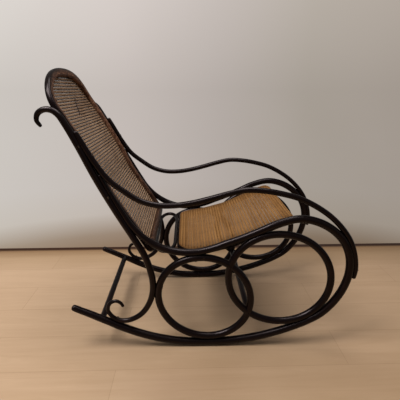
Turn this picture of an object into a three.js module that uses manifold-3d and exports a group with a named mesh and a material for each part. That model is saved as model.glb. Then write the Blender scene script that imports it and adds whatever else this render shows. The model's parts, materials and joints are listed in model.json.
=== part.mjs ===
// Bentwood rocking chair with a caned seat and a caned back, in millimetres.
// +X is the front of the chair, +Y its left hand, +Z up, and the floor is z = 0.
import * as THREE from 'three';
import { mergeVertices } from 'three/addons/utils/BufferGeometryUtils.js';
import Module from 'manifold-3d';

const wasm = await Module();
wasm.setup();

// Overall sizes
const chairLength = 1040;
const chairHeight = 964;
const frameSpacing = 504;
const widerToFrontShare = 0.0142;

// Clearances and cutting
const fit = 0.3;
const overrun = 40;
const weld = 0.0003;
const searchShare = 0.067;

// Fineness of the rods and bars
const rodStep = 55;
const fineStep = 17;
const barStep = 50;
const turnDegrees = 20;
const rodSides = 8;
const turnedSides = 12;
const ringSteps = 26;
const cornerSteps = 5;
const archSteps = 8;
const searchSteps = 4;

// Rods of the side frames
const runnerRadius = 14;
const runnerTailRadius = 11.5;
const railRadius = 12;
const railTipRadius = 5;
const postRadius = 11.5;
const hookRadius = 9;
const hookTipRadius = 5.5;
const scrollRadius = 9.5;
const scrollTipRadius = 5.5;
const armRadius = 9.5;
const armEndRadius = 7.5;
const armTipRadius = 5.5;
const ringRadius = 12.5;
const roundedEndShares = { back: 0.45, narrow: 0.6 };

// Where a rod's thickness changes, as shares of its length, and its radius at each place
const runnerTaperShares = [0, 0.08, 0.60, 0.70, 0.87, 1];
const runnerRadii = [runnerTailRadius, runnerRadius, runnerRadius, railRadius, railRadius, railTipRadius];
const postTaperShares = [0, 0.035, 0.18, 0.66, 0.80, 1];
const postRadii = [hookTipRadius, hookRadius, postRadius, postRadius, scrollRadius, scrollTipRadius];
const armTaperShares = [0, 0.03, 0.90, 1];
const armRadii = [armEndRadius, armRadius, armRadius, armTipRadius];

// Rocking curve of the runner: how steeply it rises from the worn flat that it stands on
const rockerRiseShares = { rear: 0.979, front: 0.776 };
const rockerReachShares = { rear: 0.2922, front: 0.2925 };
const standShare = -0.0127;
const rockerFlat = 44;

// Rings, bent by hand into ovals: the centre and the two half-axes, in shares of length and height
const rearRingShares = { centre: [-0.0135, 0.2044], long: [-0.1345, 0.0907], short: [-0.0769, -0.1328] };
const frontRingShares = { centre: [0.2365, 0.2801], long: [-0.1587, 0.0692], short: [-0.0587, -0.1568] };

// Where each ring touches its neighbours, in degrees from the front upwards
const rearRingDegrees = { foot: -90, top: 90, post: 180 };
const frontRingDegrees = { foot: -63, top: 122 };

// How far a ring is let into what it touches, and how it is moved and swelled to seat there
const ringSeat = 2;
const seatingTurns = 80;
const seatingShares = { reach: 0.7, move: 0.4, swell: 0.3 };

// Stretchers between the side frames
const stretcherRadius = 11;
const tenonRadius = 6;
const tenonDepth = 12;
const rearStretcherShares = [-0.3635, 0.118];

// Seat, from rear to front in shares of the length
const seatReachShares = { rear: -0.1058, front: 0.2923 };
const seatRailGap = 18;
const seatBarWidth = 36;
const seatBarThickness = 22;
const seatRearCorner = 70;
const seatFrontCorner = 38;
const seatSpacerRadius = 11;
const seatScrewAside = 24;

// Cane panels
const caneThickness = 2;
const caneLift = 0.7;
const seatCaneLap = 27;
const backCaneSetBack = 4;
const caneOpening = 46;
const caneBar = 20;
const caneRim = 12;

// Back, with the rise of its arch as a share of the spacing of the side frames
const backBarWidth = 27;
const backBarThickness = 20;
const backBottomCorner = 34;
const backArchRiseShare = 0.3175;
const archFullness = 2.4;
const barEdgeShare = 0.2;

// Spacer loop between the back and the seat, in shares of the spacing of the side frames
const loopRadius = 7;
const loopEndShare = 0.1587;
const loopReachShare = 0.4067;
const loopScrewShare = 0.119;
const loopSteps = 8;

// Wood screws
const screwRadius = 2.4;
const screwHeadRadius = 5;
const screwHeadHeight = 2.5;
const screwSides = 8;
const screwBite = 12;
const lapBite = 4;
const screwPointShare = 2;
const smallScrewShare = 0.7;

// Centre lines in the plane of a side frame, as shares of the length and of the height
const tailShares = [[-0.4577, 0.1670], [-0.435, 0.155], [-0.403, 0.139], [-0.371, 0.122], [-0.338, 0.105]];
const frontLoopShares = [
  [0.337, 0.099], [0.386, 0.132], [0.427, 0.182], [0.454, 0.238], [0.467, 0.299], [0.462, 0.362],
  [0.438, 0.419], [0.397, 0.464], [0.345, 0.494], [0.287, 0.505], [0.216, 0.487], [0.164, 0.462],
  [0.112, 0.438], [0.059, 0.417], [0.006, 0.396], [-0.049, 0.384], [-0.106, 0.387], [-0.160, 0.406],
  [-0.207, 0.439], [-0.245, 0.484], [-0.274, 0.537], [-0.307, 0.604], [-0.333, 0.660],
];
const postShares = [
  [-0.489, 0.819], [-0.499, 0.836], [-0.494, 0.857], [-0.476, 0.869], [-0.455, 0.868], [-0.437, 0.855],
  [-0.419, 0.824], [-0.392, 0.767], [-0.345, 0.653], [-0.293, 0.542], [-0.237, 0.432], [-0.210, 0.376],
  [-0.192, 0.315], [-0.185, 0.254], [-0.196, 0.193], [-0.226, 0.140], [-0.267, 0.113], [-0.299, 0.110],
  [-0.325, 0.124], [-0.341, 0.154], [-0.333, 0.182], [-0.312, 0.192], [-0.297, 0.184], [-0.289, 0.170],
];
const armShares = [
  [-0.392, 0.800], [-0.368, 0.749], [-0.340, 0.696], [-0.307, 0.646], [-0.263, 0.607], [-0.216, 0.574],
  [-0.162, 0.557], [-0.105, 0.556], [-0.049, 0.565], [0.007, 0.580], [0.061, 0.596], [0.116, 0.608],
  [0.173, 0.605], [0.229, 0.594], [0.284, 0.577], [0.335, 0.550], [0.382, 0.516], [0.423, 0.474],
  [0.457, 0.424], [0.478, 0.368], [0.487, 0.308], [0.485, 0.278],
];
const seatTopShares = [
  [-0.115, 0.376], [-0.054, 0.376], [0.000, 0.385], [0.048, 0.398], [0.096, 0.413], [0.144, 0.436],
  [0.192, 0.460], [0.240, 0.483], [0.274, 0.492], [0.298, 0.484],
];
const backShares = [
  [-0.184, 0.371], [-0.223, 0.441], [-0.309, 0.592], [-0.340, 0.666], [-0.395, 0.777], [-0.428, 0.838],
  [-0.462, 0.900], [-0.491, 1.000],
];

// Places of joints and screws in the same shares, and on the back as shares of its length
const scrollZoneShare = 0.14;
const scrollFootShares = [-0.299, 0.110];
const scarfShares = [-0.307, 0.604];
const armPostShares = [-0.356, 0.726];
const armFrontShares = [0.480, 0.310];
const backScrewShares = { low: 0.36, high: 0.62 };

// Finishes
const stained = { color: 0x1d1210, roughness: 0.35, metalness: 0 };
const seatCaned = { color: 0xa9793f, roughness: 0.7, metalness: 0 };
const backCaned = { color: 0x9a7a52, roughness: 0.7, metalness: 0 };
const steel = { color: 0x6b6258, roughness: 0.5, metalness: 0.9 };

const chair = new THREE.Group();
const hands = { left: 1, right: -1 };
const searchReach = searchShare * chairLength;

// Helpers for centre lines

// How far a side frame's plane stands from the middle of the chair
function sideY(x) {
  return frameSpacing / 2 + widerToFrontShare * x;
}

function fromShares(shares) {
  return shares.map(([x, z]) => new THREE.Vector3(x * chairLength, 0, z * chairHeight));
}

// The value at a place, between the values that are given for rising places
function ramp(at, places, values) {
  for (let i = 1; i < places.length; i += 1) {
    if (at <= places[i]) {
      const share = (at - places[i - 1]) / (places[i] - places[i - 1]);
      return values[i - 1] + share * (values[i] - values[i - 1]);
    }
  }
  return values[values.length - 1];
}

// A smooth line through the points, which keeps every one of them
function smoothLine(points, step) {
  const curve = new THREE.CatmullRomCurve3(points, false, 'centripetal');
  const spans = points.length - 1;
  const most = THREE.MathUtils.degToRad(turnDegrees);
  const line = [];
  for (let i = 0; i < spans; i += 1) {
    const length = points[i].distanceTo(points[i + 1]);
    const turn = curve.getTangent(i / spans).angleTo(curve.getTangent((i + 1) / spans));
    const parts = Math.max(1, Math.round(length / step), Math.round(turn / most));
    for (let k = 0; k < parts; k += 1) {
      line.push(k === 0 ? points[i].clone() : curve.getPoint((i + k / parts) / spans));
    }
  }
  line.push(points[spans].clone());
  return line;
}

function distances(line) {
  const along = [0];
  for (let i = 1; i < line.length; i += 1) along.push(along[i - 1] + line[i].distanceTo(line[i - 1]));
  return along;
}

// The way from a ring's centre at a number of degrees from the front upwards
function heading(degrees) {
  const angle = THREE.MathUtils.degToRad(degrees);
  return new THREE.Vector3(Math.cos(angle), 0, Math.sin(angle));
}

function ovalLine({ centre, long, short }) {
  const line = [];
  for (let i = 0; i < ringSteps; i += 1) {
    const angle = (i / ringSteps) * Math.PI * 2;
    const place = centre.clone().addScaledVector(long, Math.cos(angle));
    line.push(place.addScaledVector(short, Math.sin(angle)));
  }
  return line;
}

function looped(line) {
  return [...line, line[0]];
}

// Both ends of the shortest way between two lines, near a place
function nearest(lineA, lineB, around, reach) {
  const finer = (line) => {
    const points = [line[line.length - 1]];
    for (let i = 1; i < line.length; i += 1) {
      for (let k = 0; k < searchSteps; k += 1) {
        points.push(line[i - 1].clone().lerp(line[i], k / searchSteps));
      }
    }
    return points.filter((point) => point.distanceTo(around) < reach);
  };
  let best = null;
  for (const a of finer(lineA)) {
    for (const b of finer(lineB)) {
      const distance = a.distanceTo(b);
      if (!best || distance < best.distance) best = { a, b, distance };
    }
  }
  return best;
}

// Where two straight pieces of line cross in the plane of a side frame, if they do
function crossing(a, b, c, d) {
  const ab = b.clone().sub(a);
  const cd = d.clone().sub(c);
  const ac = c.clone().sub(a);
  const turn = ab.x * cd.z - ab.z * cd.x;
  const alongAb = (ac.x * cd.z - ac.z * cd.x) / turn;
  const alongCd = (ac.x * ab.z - ac.z * ab.x) / turn;
  const meet = alongAb >= 0 && alongAb < 1 && alongCd >= 0 && alongCd < 1;
  return meet ? a.clone().lerp(b, alongAb) : null;
}

// All places where two lines cross, lowest first
function crossings(lineA, lineB) {
  const places = [];
  for (let i = 1; i < lineA.length; i += 1) {
    for (let k = 1; k < lineB.length; k += 1) {
      const place = crossing(lineA[i - 1], lineA[i], lineB[k - 1], lineB[k]);
      if (place) places.push(place);
    }
  }
  return places.sort((a, b) => a.z - b.z);
}

// Helpers for solids

// Makes a solid of a closed geometry, with its faces turned outwards
function solid(geometry) {
  geometry.deleteAttribute('normal');
  geometry.deleteAttribute('uv');
  const merged = mergeVertices(geometry, weld);
  const places = merged.attributes.position;
  const index = [...merged.index.array];
  const corners = index.map((i) => new THREE.Vector3().fromBufferAttribute(places, i));
  let volume = 0;
  for (let i = 0; i < corners.length; i += 3) {
    volume += corners[i].dot(corners[i + 1].clone().cross(corners[i + 2]));
  }
  if (volume < 0) index.reverse();
  const mesh = new wasm.Mesh({
    numProp: 3,
    vertProperties: new Float32Array(places.array),
    triVerts: new Uint32Array(index),
  });
  return new wasm.Manifold(mesh);
}

// A closed skin over rows of points: it runs round into itself, or has a fan at each end
function skin(rows, closed) {
  const sides = rows[0].length;
  const points = rows.flat();
  const index = [];
  const spans = closed ? rows.length : rows.length - 1;
  for (let i = 0; i < spans; i += 1) {
    const next = ((i + 1) % rows.length) * sides;
    for (let k = 0; k < sides; k += 1) {
      const a = i * sides + k;
      const b = i * sides + ((k + 1) % sides);
      const c = next + k;
      const d = next + ((k + 1) % sides);
      index.push(a, b, d, a, d, c);
    }
  }
  const fan = (row, turnedOver) => {
    const centre = new THREE.Vector3();
    rows[row].forEach((point) => centre.addScaledVector(point, 1 / sides));
    points.push(centre);
    for (let k = 0; k < sides; k += 1) {
      const a = row * sides + k;
      const b = row * sides + ((k + 1) % sides);
      index.push(points.length - 1, turnedOver ? a : b, turnedOver ? b : a);
    }
  };
  if (!closed) {
    fan(0, false);
    fan(rows.length - 1, true);
  }
  const geometry = new THREE.BufferGeometry().setFromPoints(points);
  geometry.setIndex(index);
  return solid(geometry);
}

// A round rod along a line in the plane of a side frame; radiusAt takes the share of its length
function rod(line, radiusAt, closed, extra) {
  const along = distances(line);
  const total = along[along.length - 1];
  const count = line.length;
  const rows = [];
  const addRow = (centre, normal, radius, stretch) => {
    const corner = radius / Math.cos(Math.PI / rodSides);
    const row = [];
    for (let k = 0; k < rodSides; k += 1) {
      const angle = ((k + 1 / 2) / rodSides) * Math.PI * 2;
      const point = centre.clone().addScaledVector(normal, corner * stretch * Math.cos(angle));
      point.y += corner * Math.sin(angle);
      row.push(point);
    }
    rows.push(row);
  };
  line.forEach((centre, i) => {
    const before = line[closed ? (i - 1 + count) % count : Math.max(0, i - 1)];
    const after = line[closed ? (i + 1) % count : Math.min(count - 1, i + 1)];
    const tangent = centre.clone().sub(before).normalize();
    tangent.add(after.clone().sub(centre).normalize()).normalize();
    const normal = new THREE.Vector3(-tangent.z, 0, tangent.x);
    const isStart = !closed && i === 0;
    const isEnd = !closed && i === count - 1;
    const bend = isStart || isEnd ? 1 : tangent.dot(after.clone().sub(centre).normalize());
    const radius = radiusAt(along[i] / total) + extra;
    const rounded = (way) => {
      const tip = centre.clone().addScaledVector(tangent, way * radius * roundedEndShares.back);
      addRow(tip, normal, radius * roundedEndShares.narrow, 1);
    };
    if (isStart) rounded(-1);
    addRow(centre, normal, radius, 1 / bend);
    if (isEnd) rounded(1);
  });
  return skin(rows, closed);
}

// Lays a geometry that was made along +Y from one place towards another
function laid(geometry, from, to) {
  const turn = new THREE.Quaternion();
  turn.setFromUnitVectors(new THREE.Vector3(0, 1, 0), to.clone().sub(from).normalize());
  geometry.applyQuaternion(turn);
  geometry.translate(from.x, from.y, from.z);
  return solid(geometry);
}

function cylinder(from, to, radius, sides) {
  const length = from.distanceTo(to);
  const geometry = new THREE.CylinderGeometry(radius, radius, length, sides);
  geometry.translate(0, length / 2, 0);
  return laid(geometry, from, to);
}

// A block as long as the chair, between two depths and two heights
function block(y0, y1, z0, z1) {
  const geometry = new THREE.BoxGeometry(chairLength * 2, y1 - y0, z1 - z0);
  geometry.translate(0, (y0 + y1) / 2, (z0 + z1) / 2);
  return solid(geometry);
}

// Adds a solid to the chair as a named mesh
function addMesh(name, made, finish) {
  const mesh = made.getMesh();
  const geometry = new THREE.BufferGeometry();
  const places = new Float32Array(mesh.numVert * 3);
  for (let i = 0; i < mesh.numVert; i += 1) {
    for (let k = 0; k < 3; k += 1) places[i * 3 + k] = mesh.vertProperties[i * mesh.numProp + k];
  }
  geometry.setAttribute('position', new THREE.BufferAttribute(places, 3));
  geometry.setIndex([...mesh.triVerts]);
  geometry.computeVertexNormals();
  const piece = new THREE.Mesh(geometry, new THREE.MeshStandardMaterial(finish));
  piece.name = name;
  chair.add(piece);
}

// Carries a piece of a side frame from its own plane, where +Y is outwards, to its place
function placed(made, side) {
  const turned = side > 0 ? made : made.mirror([0, 1, 0]);
  return turned.warp((point) => {
    point[1] += side * sideY(point[0]);
  });
}

// Lines of the side frame

const standX = standShare * chairLength;

// The height of the runner's centre line along its rocking curve
function rockerZ(x) {
  const rise = chairHeight * (x < standX ? rockerRiseShares.rear : rockerRiseShares.front);
  const distance = Math.max(0, Math.abs(x - standX) - rockerFlat / 2);
  return runnerRadius + rise * (distance / chairLength) ** 2;
}

// The rocking curve: a rise on each side of a flat that lies level on the floor
function rockerLine() {
  const rear = rockerReachShares.rear * chairLength - rockerFlat / 2;
  const front = rockerReachShares.front * chairLength - rockerFlat / 2;
  const rearSteps = Math.round(rear / rodStep);
  const frontSteps = Math.round(front / rodStep);
  const places = [];
  for (let i = rearSteps; i >= 0; i -= 1) places.push(standX - rockerFlat / 2 - (i / rearSteps) * rear);
  for (let i = 0; i <= frontSteps; i += 1) places.push(standX + rockerFlat / 2 + (i / frontSteps) * front);
  return places.map((x) => new THREE.Vector3(x, 0, rockerZ(x)));
}

const runnerPoints = [...fromShares(tailShares), ...rockerLine(), ...fromShares(frontLoopShares)];
const runnerLine = smoothLine(runnerPoints, rodStep);
const postLine = smoothLine(fromShares(postShares), rodStep);
const armLine = smoothLine(fromShares(armShares), rodStep);

function ringPlace({ centre, long }, degrees) {
  return centre.clone().addScaledVector(heading(degrees), long.length());
}

// Moves and swells a ring until it seats on every rod that it touches, and keeps where it does
function seatRing(shares, turns, contacts) {
  const [centre, long, short] = fromShares([shares.centre, shares.long, shares.short]);
  const oval = { centre, long, short, touches: {} };
  for (let turn = 0; turn < seatingTurns; turn += 1) {
    for (const { touch, line, radius } of contacts) {
      const reach = long.length() * seatingShares.reach;
      const around = ringPlace(oval, turns[touch]);
      const { a, b, distance } = nearest(looped(ovalLine(oval)), line, around, reach);
      oval.touches[touch] = a;
      const gap = distance - (ringRadius + radius - ringSeat);
      const swell = 1 + (gap / long.length()) * seatingShares.swell;
      centre.addScaledVector(b.clone().sub(a).normalize(), gap * seatingShares.move);
      long.multiplyScalar(swell);
      short.multiplyScalar(swell);
    }
  }
  return oval;
}

const rearOval = seatRing(rearRingShares, rearRingDegrees, [
  { touch: 'foot', line: runnerLine, radius: runnerRadius },
  { touch: 'top', line: runnerLine, radius: railRadius },
  { touch: 'post', line: postLine, radius: postRadius },
]);
const frontOval = seatRing(frontRingShares, frontRingDegrees, [
  { touch: 'foot', line: runnerLine, radius: runnerRadius },
  { touch: 'top', line: runnerLine, radius: railRadius },
]);
const rearRingLine = ovalLine(rearOval);
const frontRingLine = ovalLine(frontOval);
const [lowCrossing, highCrossing] = crossings(looped(rearRingLine), looped(frontRingLine));

// Pieces of a side frame in its own plane, later placed on both sides

function runnerRod(extra) {
  return rod(runnerLine, (share) => ramp(share, runnerTaperShares, runnerRadii), false, extra);
}

function postRod(extra) {
  return rod(postLine, (share) => ramp(share, postTaperShares, postRadii), false, extra);
}

function armRod(extra) {
  return rod(armLine, (share) => ramp(share, armTaperShares, armRadii), false, extra);
}

function ringRod(line, extra) {
  return rod(line, () => ringRadius, true, extra);
}

// The scroll of the post is saddled on the runner, whose upper end is scarfed to the post above,
// and the rings are halved into each other: the rear one keeps the outer half, the front the inner
const scrollZone = block(-overrun, overrun, -overrun, scrollZoneShare * chairHeight);
const innerHalf = block(-overrun, fit / 2, 0, chairHeight);
const outerHalf = block(-fit / 2, overrun, 0, chairHeight);
const runnerSpace = runnerRod(fit);
const postSpace = postRod(fit);
const rearRingSpace = ringRod(rearRingLine, fit);
const frontRingSpace = ringRod(frontRingLine, fit);

const sidePieces = {
  runner: runnerRod(0).subtract(postSpace.subtract(scrollZone)),
  rear_post: postRod(0).subtract(runnerSpace.intersect(scrollZone)),
  arm: armRod(0).subtract(postSpace).subtract(runnerSpace),
  rear_ring: ringRod(rearRingLine, 0).subtract(runnerSpace).subtract(postSpace)
    .subtract(frontRingSpace.intersect(innerHalf)),
  front_ring: ringRod(frontRingLine, 0).subtract(runnerSpace)
    .subtract(rearRingSpace.intersect(outerHalf)),
};

// Helpers for the seat and the back

const seatTopLine = smoothLine(fromShares(seatTopShares), fineStep);
const backLine = smoothLine(fromShares(backShares), fineStep);
const backAlong = distances(backLine);
const backLength = backAlong[backAlong.length - 1];

function seatTop(x) {
  return ramp(x, seatTopLine.map((point) => point.x), seatTopLine.map((point) => point.z));
}

function backPoint(distance) {
  const x = ramp(distance, backAlong, backLine.map((point) => point.x));
  const z = ramp(distance, backAlong, backLine.map((point) => point.z));
  return new THREE.Vector3(x, 0, z);
}

// The middle of the back at a distance up its profile, with the ways along it and out of its front
function backAt(distance) {
  const near = Math.min(Math.max(distance, fineStep), backLength - fineStep);
  const along = backPoint(near + fineStep).sub(backPoint(near - fineStep)).normalize();
  return { point: backPoint(distance), along, front: new THREE.Vector3(along.z, 0, -along.x) };
}

// The section of a bent frame bar with its edges taken off, as places across and through it
function barSection(width, thickness) {
  const edge = thickness * barEdgeShare;
  const w = width / 2;
  const t = thickness / 2;
  return [
    [-w, -t + edge], [-w, t - edge], [-w + edge, t], [w - edge, t],
    [w, t - edge], [w, -t + edge], [w - edge, -t], [-w + edge, -t],
  ];
}

// Angles of a quarter turn, without its last
function quarterAngles(steps) {
  return Array.from({ length: steps }, (_, i) => (i / steps) * (Math.PI / 2));
}

// Seat frame: a rounded oblong in plan, as stations with a place and an outward normal
const seatRear = seatReachShares.rear * chairLength;
const seatFront = seatReachShares.front * chairLength;
const seatInset = railRadius + seatRailGap;

function seatPlan(inset) {
  const rearCorner = seatRearCorner - inset;
  const frontCorner = seatFrontCorner - inset;
  const rearX = seatRear + seatRearCorner;
  const frontX = seatFront - seatFrontCorner;
  const half = (x) => sideY(x) - seatInset - inset;
  const quarter = [];
  for (const angle of quarterAngles(cornerSteps)) {
    const x = rearX - rearCorner * Math.cos(angle);
    const y = half(rearX) - rearCorner * (1 - Math.sin(angle));
    quarter.push({ x, y, nx: -Math.cos(angle), ny: Math.sin(angle) });
  }
  const steps = Math.round((frontX - rearX) / barStep);
  for (let i = 0; i < steps; i += 1) {
    const x = rearX + (i / steps) * (frontX - rearX);
    quarter.push({ x, y: half(x), nx: 0, ny: 1 });
  }
  for (const angle of [...quarterAngles(cornerSteps), Math.PI / 2]) {
    const x = frontX + frontCorner * Math.sin(angle);
    const y = half(frontX) - frontCorner * (1 - Math.cos(angle));
    quarter.push({ x, y, nx: Math.sin(angle), ny: Math.cos(angle) });
  }
  return quarter;
}

function seatFrame() {
  const quarter = seatPlan(seatBarWidth / 2);
  const other = quarter.map((s) => ({ ...s, y: -s.y, ny: -s.ny }));
  const rows = [...quarter, ...other.reverse()].map(({ x, y, nx, ny }) => (
    barSection(seatBarWidth, seatBarThickness).map(([across, through]) => {
      const place = new THREE.Vector3(x + across * nx, y + across * ny, 0);
      place.z = seatTop(place.x) - seatBarThickness / 2 + through;
      return place;
    })
  ));
  return skin(rows, true);
}

// How far the openings of a panel are cut above and below the face that it lies on
const caneReach = caneLift + caneThickness * 2;

// A thin panel: each station is a row of four corners, right and left, below and above
function panelRow(half, low) {
  const high = low + caneThickness;
  return [[-half, low], [half, low], [half, high], [-half, high]];
}

// Even spaces along a stretch, as near to the wanted size as fits, each with its start and end
function evenSpaces(from, to, bar) {
  const count = Math.round((to - from + bar) / (caneOpening + bar));
  const pitch = (to - from + bar) / count;
  return Array.from({ length: count }, (_, i) => [from + i * pitch, from + (i + 1) * pitch - bar]);
}

// A plain grid of whole openings, inside an edge given as places along it with its half width there
function caneOpenings(edge, corner) {
  const places = edge.map(([along]) => along);
  const halves = edge.map(([, half]) => half);
  const first = places[0] + caneRim;
  const last = places[places.length - 1] - caneRim;
  const side = ramp((first + last) / 2, places, halves) - caneRim;
  const openings = [];
  for (const [near, far] of evenSpaces(first, last, caneBar)) {
    const room = Math.min(ramp(near, places, halves), ramp(far, places, halves));
    const columns = evenSpaces(-side, side, caneBar).filter(([right, left]) => right > -room && left < room);
    for (const [right, left] of columns) {
      openings.push(skin([near, far].map((along) => [
        corner(along, right, -caneReach), corner(along, left, -caneReach),
        corner(along, left, caneReach), corner(along, right, caneReach),
      ]), false));
    }
  }
  return wasm.Manifold.union(openings);
}

function seatCane() {
  const rows = seatPlan(seatBarWidth - seatCaneLap).map(({ x, y }) => (
    panelRow(y, seatTop(x) + caneLift).map(([py, pz]) => new THREE.Vector3(x, py, pz))
  ));
  const edge = seatPlan(seatBarWidth).map(({ x, y }) => [x, y]);
  const corner = (x, y, above) => new THREE.Vector3(x, y, seatTop(x) + above);
  return skin(rows, false).subtract(caneOpenings(edge, corner));
}

// Back frame: straight sides, round foot corners and an arched top, as places across and up
const backInset = postRadius + fit;

function backPlan(inset) {
  const half = (upwards) => sideY(backPoint(upwards).x) - backInset - inset;
  const corner = backBottomCorner - inset;
  const archRise = backArchRiseShare * frameSpacing;
  const spring = backLength - archRise;
  const quarter = [];
  for (const angle of quarterAngles(cornerSteps)) {
    const across = half(backBottomCorner) - corner * (1 - Math.sin(angle));
    const upwards = backBottomCorner - corner * Math.cos(angle);
    quarter.push({ across, upwards, nAcross: Math.sin(angle), nUp: -Math.cos(angle) });
  }
  const steps = Math.round((spring - backBottomCorner) / barStep);
  for (let i = 0; i < steps; i += 1) {
    const upwards = backBottomCorner + (i / steps) * (spring - backBottomCorner);
    quarter.push({ across: half(upwards), upwards, nAcross: 1, nUp: 0 });
  }
  for (const angle of [...quarterAngles(archSteps), Math.PI / 2]) {
    const acrossShare = Math.cos(angle) ** (2 / archFullness);
    const upShare = Math.sin(angle) ** (2 / archFullness);
    const normal = new THREE.Vector2(
      acrossShare ** (archFullness - 1) / half(spring),
      upShare ** (archFullness - 1) / (archRise - inset),
    ).normalize();
    const across = half(spring) * acrossShare;
    const upwards = spring + (archRise - inset) * upShare;
    quarter.push({ across, upwards, nAcross: normal.x, nUp: normal.y });
  }
  return quarter;
}

function backPlace(across, upwards, through) {
  const { point, front } = backAt(upwards);
  const place = point.addScaledVector(front, through);
  place.y = across;
  return place;
}

function backFrame() {
  const quarter = backPlan(backBarWidth / 2);
  const other = quarter.slice(0, -1).map((s) => ({ ...s, across: -s.across, nAcross: -s.nAcross }));
  const rows = [...quarter, ...other.reverse()].map(({ across, upwards, nAcross, nUp }) => (
    barSection(backBarWidth, backBarThickness).map(([a, t]) => (
      backPlace(across + a * nAcross, upwards + a * nUp, t)
    ))
  ));
  return skin(rows, true);
}

// The back's panel lies inside its frame, behind the middle of the bar
function backCane() {
  const low = -backCaneSetBack - caneThickness / 2;
  const inwards = backBarWidth / 2 + fit;
  const rows = backPlan(backBarWidth / 2).map(({ across, upwards, nAcross, nUp }) => {
    const half = Math.max(across - inwards * nAcross, caneThickness);
    return panelRow(half, low).map(([a, t]) => backPlace(a, upwards - inwards * nUp, t));
  });
  const edge = backPlan(backBarWidth).map(({ across, upwards }) => [upwards, across]);
  const corner = (upwards, across, before) => backPlace(across, upwards, low + before);
  return skin(rows, false).subtract(caneOpenings(edge, corner));
}

// Spacer loop: it lies level under the foot of the back, against the rear of the seat frame
const backFoot = backAt(0);
const loopCorner = loopRadius / Math.cos(Math.PI / rodSides);
const loopRear = backFoot.point.clone().addScaledVector(backFoot.along, -(loopCorner + fit));
const loopFront = new THREE.Vector3(seatRear - fit - loopRadius, 0, loopRear.z);

function spacerLoop() {
  const centreX = (loopRear.x + loopFront.x) / 2;
  const semi = (loopFront.x - loopRear.x) / 2;
  const end = loopEndShare * frameSpacing;
  const straight = loopReachShare * frameSpacing - loopRadius - end;
  const line = [];
  for (const side of [1, -1]) {
    for (let i = 0; i <= loopSteps; i += 1) {
      const angle = (i / loopSteps) * Math.PI;
      const x = centreX + side * semi * Math.cos(angle);
      line.push(new THREE.Vector3(x, 0, side * (straight + end * Math.sin(angle))));
    }
  }
  return rod(line, () => loopRadius, true, 0).rotate([90, 0, 0]).translate([0, 0, loopRear.z]);
}

// Stretchers: the rear one has a tenon in each runner, the front one ends against the rings
const [rearStretcherAim] = fromShares([rearStretcherShares]);
const rearStretcherPlace = nearest([rearStretcherAim], runnerLine, rearStretcherAim, searchReach).b;

function across(place, reach, radius) {
  return cylinder(place.clone().setY(-reach), place.clone().setY(reach), radius, turnedSides);
}

function rearStretcher() {
  const reach = sideY(rearStretcherPlace.x);
  const bar = across(rearStretcherPlace, reach - fit, stretcherRadius);
  const tenons = across(rearStretcherPlace, reach - runnerRadius + tenonDepth, tenonRadius);
  return bar.subtract(placed(runnerSpace, 1)).subtract(placed(runnerSpace, -1)).add(tenons);
}

function frontStretcher() {
  return across(lowCrossing, sideY(lowCrossing.x) - ringRadius - fit, stretcherRadius);
}

const tenonHole = cylinder(
  rearStretcherPlace.clone().setY(-overrun),
  rearStretcherPlace.clone().setY(tenonDepth - runnerRadius + fit),
  tenonRadius + fit,
  turnedSides,
);
sidePieces.runner = sidePieces.runner.subtract(tenonHole);

const middlePieces = {
  back_frame: backFrame(),
  back_cane: backCane(),
  seat_frame: seatFrame(),
  seat_cane: seatCane(),
  spacer_loop: spacerLoop(),
  rear_stretcher: rearStretcher(),
  front_stretcher: frontStretcher(),
};

// Screws: each is turned about its own axis and has its hole cut in what it holds

function turnedSolid(profile, from, to) {
  const points = profile.map(([radius, height]) => new THREE.Vector2(radius, height));
  return laid(new THREE.LatheGeometry(points, screwSides), from, to);
}

// From the face of the head to the tip
function screwSolid(head, tip, share) {
  const length = head.distanceTo(tip);
  const shank = screwRadius * share;
  const headRadius = screwHeadRadius * share;
  const headHeight = screwHeadHeight * share;
  const profile = [
    [0, 0], [headRadius, 0], [headRadius, headHeight], [shank, headHeight],
    [shank, length - shank * screwPointShare], [0, length],
  ];
  return turnedSolid(profile, head, tip);
}

function screwHole(head, tip, share) {
  const length = head.distanceTo(tip) + fit * 2;
  const shank = screwRadius * share + fit;
  const headRadius = screwHeadRadius * share + fit;
  const headHeight = screwHeadHeight * share + fit;
  const open = -overrun / 2;
  const profile = [
    [0, open], [headRadius, open], [headRadius, headHeight], [shank, headHeight],
    [shank, length], [0, length],
  ];
  return turnedSolid(profile, head, tip);
}

const screws = [];

// A screw in the plane of a side frame, on both sides of the chair
function sideScrew(name, head, tip, held, heldMiddle = []) {
  const hole = screwHole(head, tip, 1);
  const made = screwSolid(head, tip, 1);
  for (const piece of held) sidePieces[piece] = sidePieces[piece].subtract(hole);
  for (const [hand, side] of Object.entries(hands)) {
    for (const piece of heldMiddle) middlePieces[piece] = middlePieces[piece].subtract(placed(hole, side));
    screws.push({ name: `screw_${name}_${hand}`, made: placed(made, side) });
  }
}

// A small screw through the spacer loop, on both sides of its middle
function loopScrew(name, head, tip, held) {
  for (const [hand, side] of Object.entries(hands)) {
    const aside = [0, side * loopScrewShare * frameSpacing, 0];
    const hole = screwHole(head, tip, smallScrewShare).translate(aside);
    const made = screwSolid(head, tip, smallScrewShare).translate(aside);
    for (const piece of held) middlePieces[piece] = middlePieces[piece].subtract(hole);
    screws.push({ name: `screw_${name}_${hand}`, made });
  }
}

// A screw through one rod of a side frame into the next, where the two lie closest
function lapScrew(name, outer, outerRadius, inner, around, held) {
  const { a, b } = nearest(outer, inner, around, searchReach);
  const way = b.clone().sub(a).normalize();
  const head = a.clone().addScaledVector(way, fit - outerRadius);
  sideScrew(name, head, b.clone().addScaledVector(way, lapBite), held);
}

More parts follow.
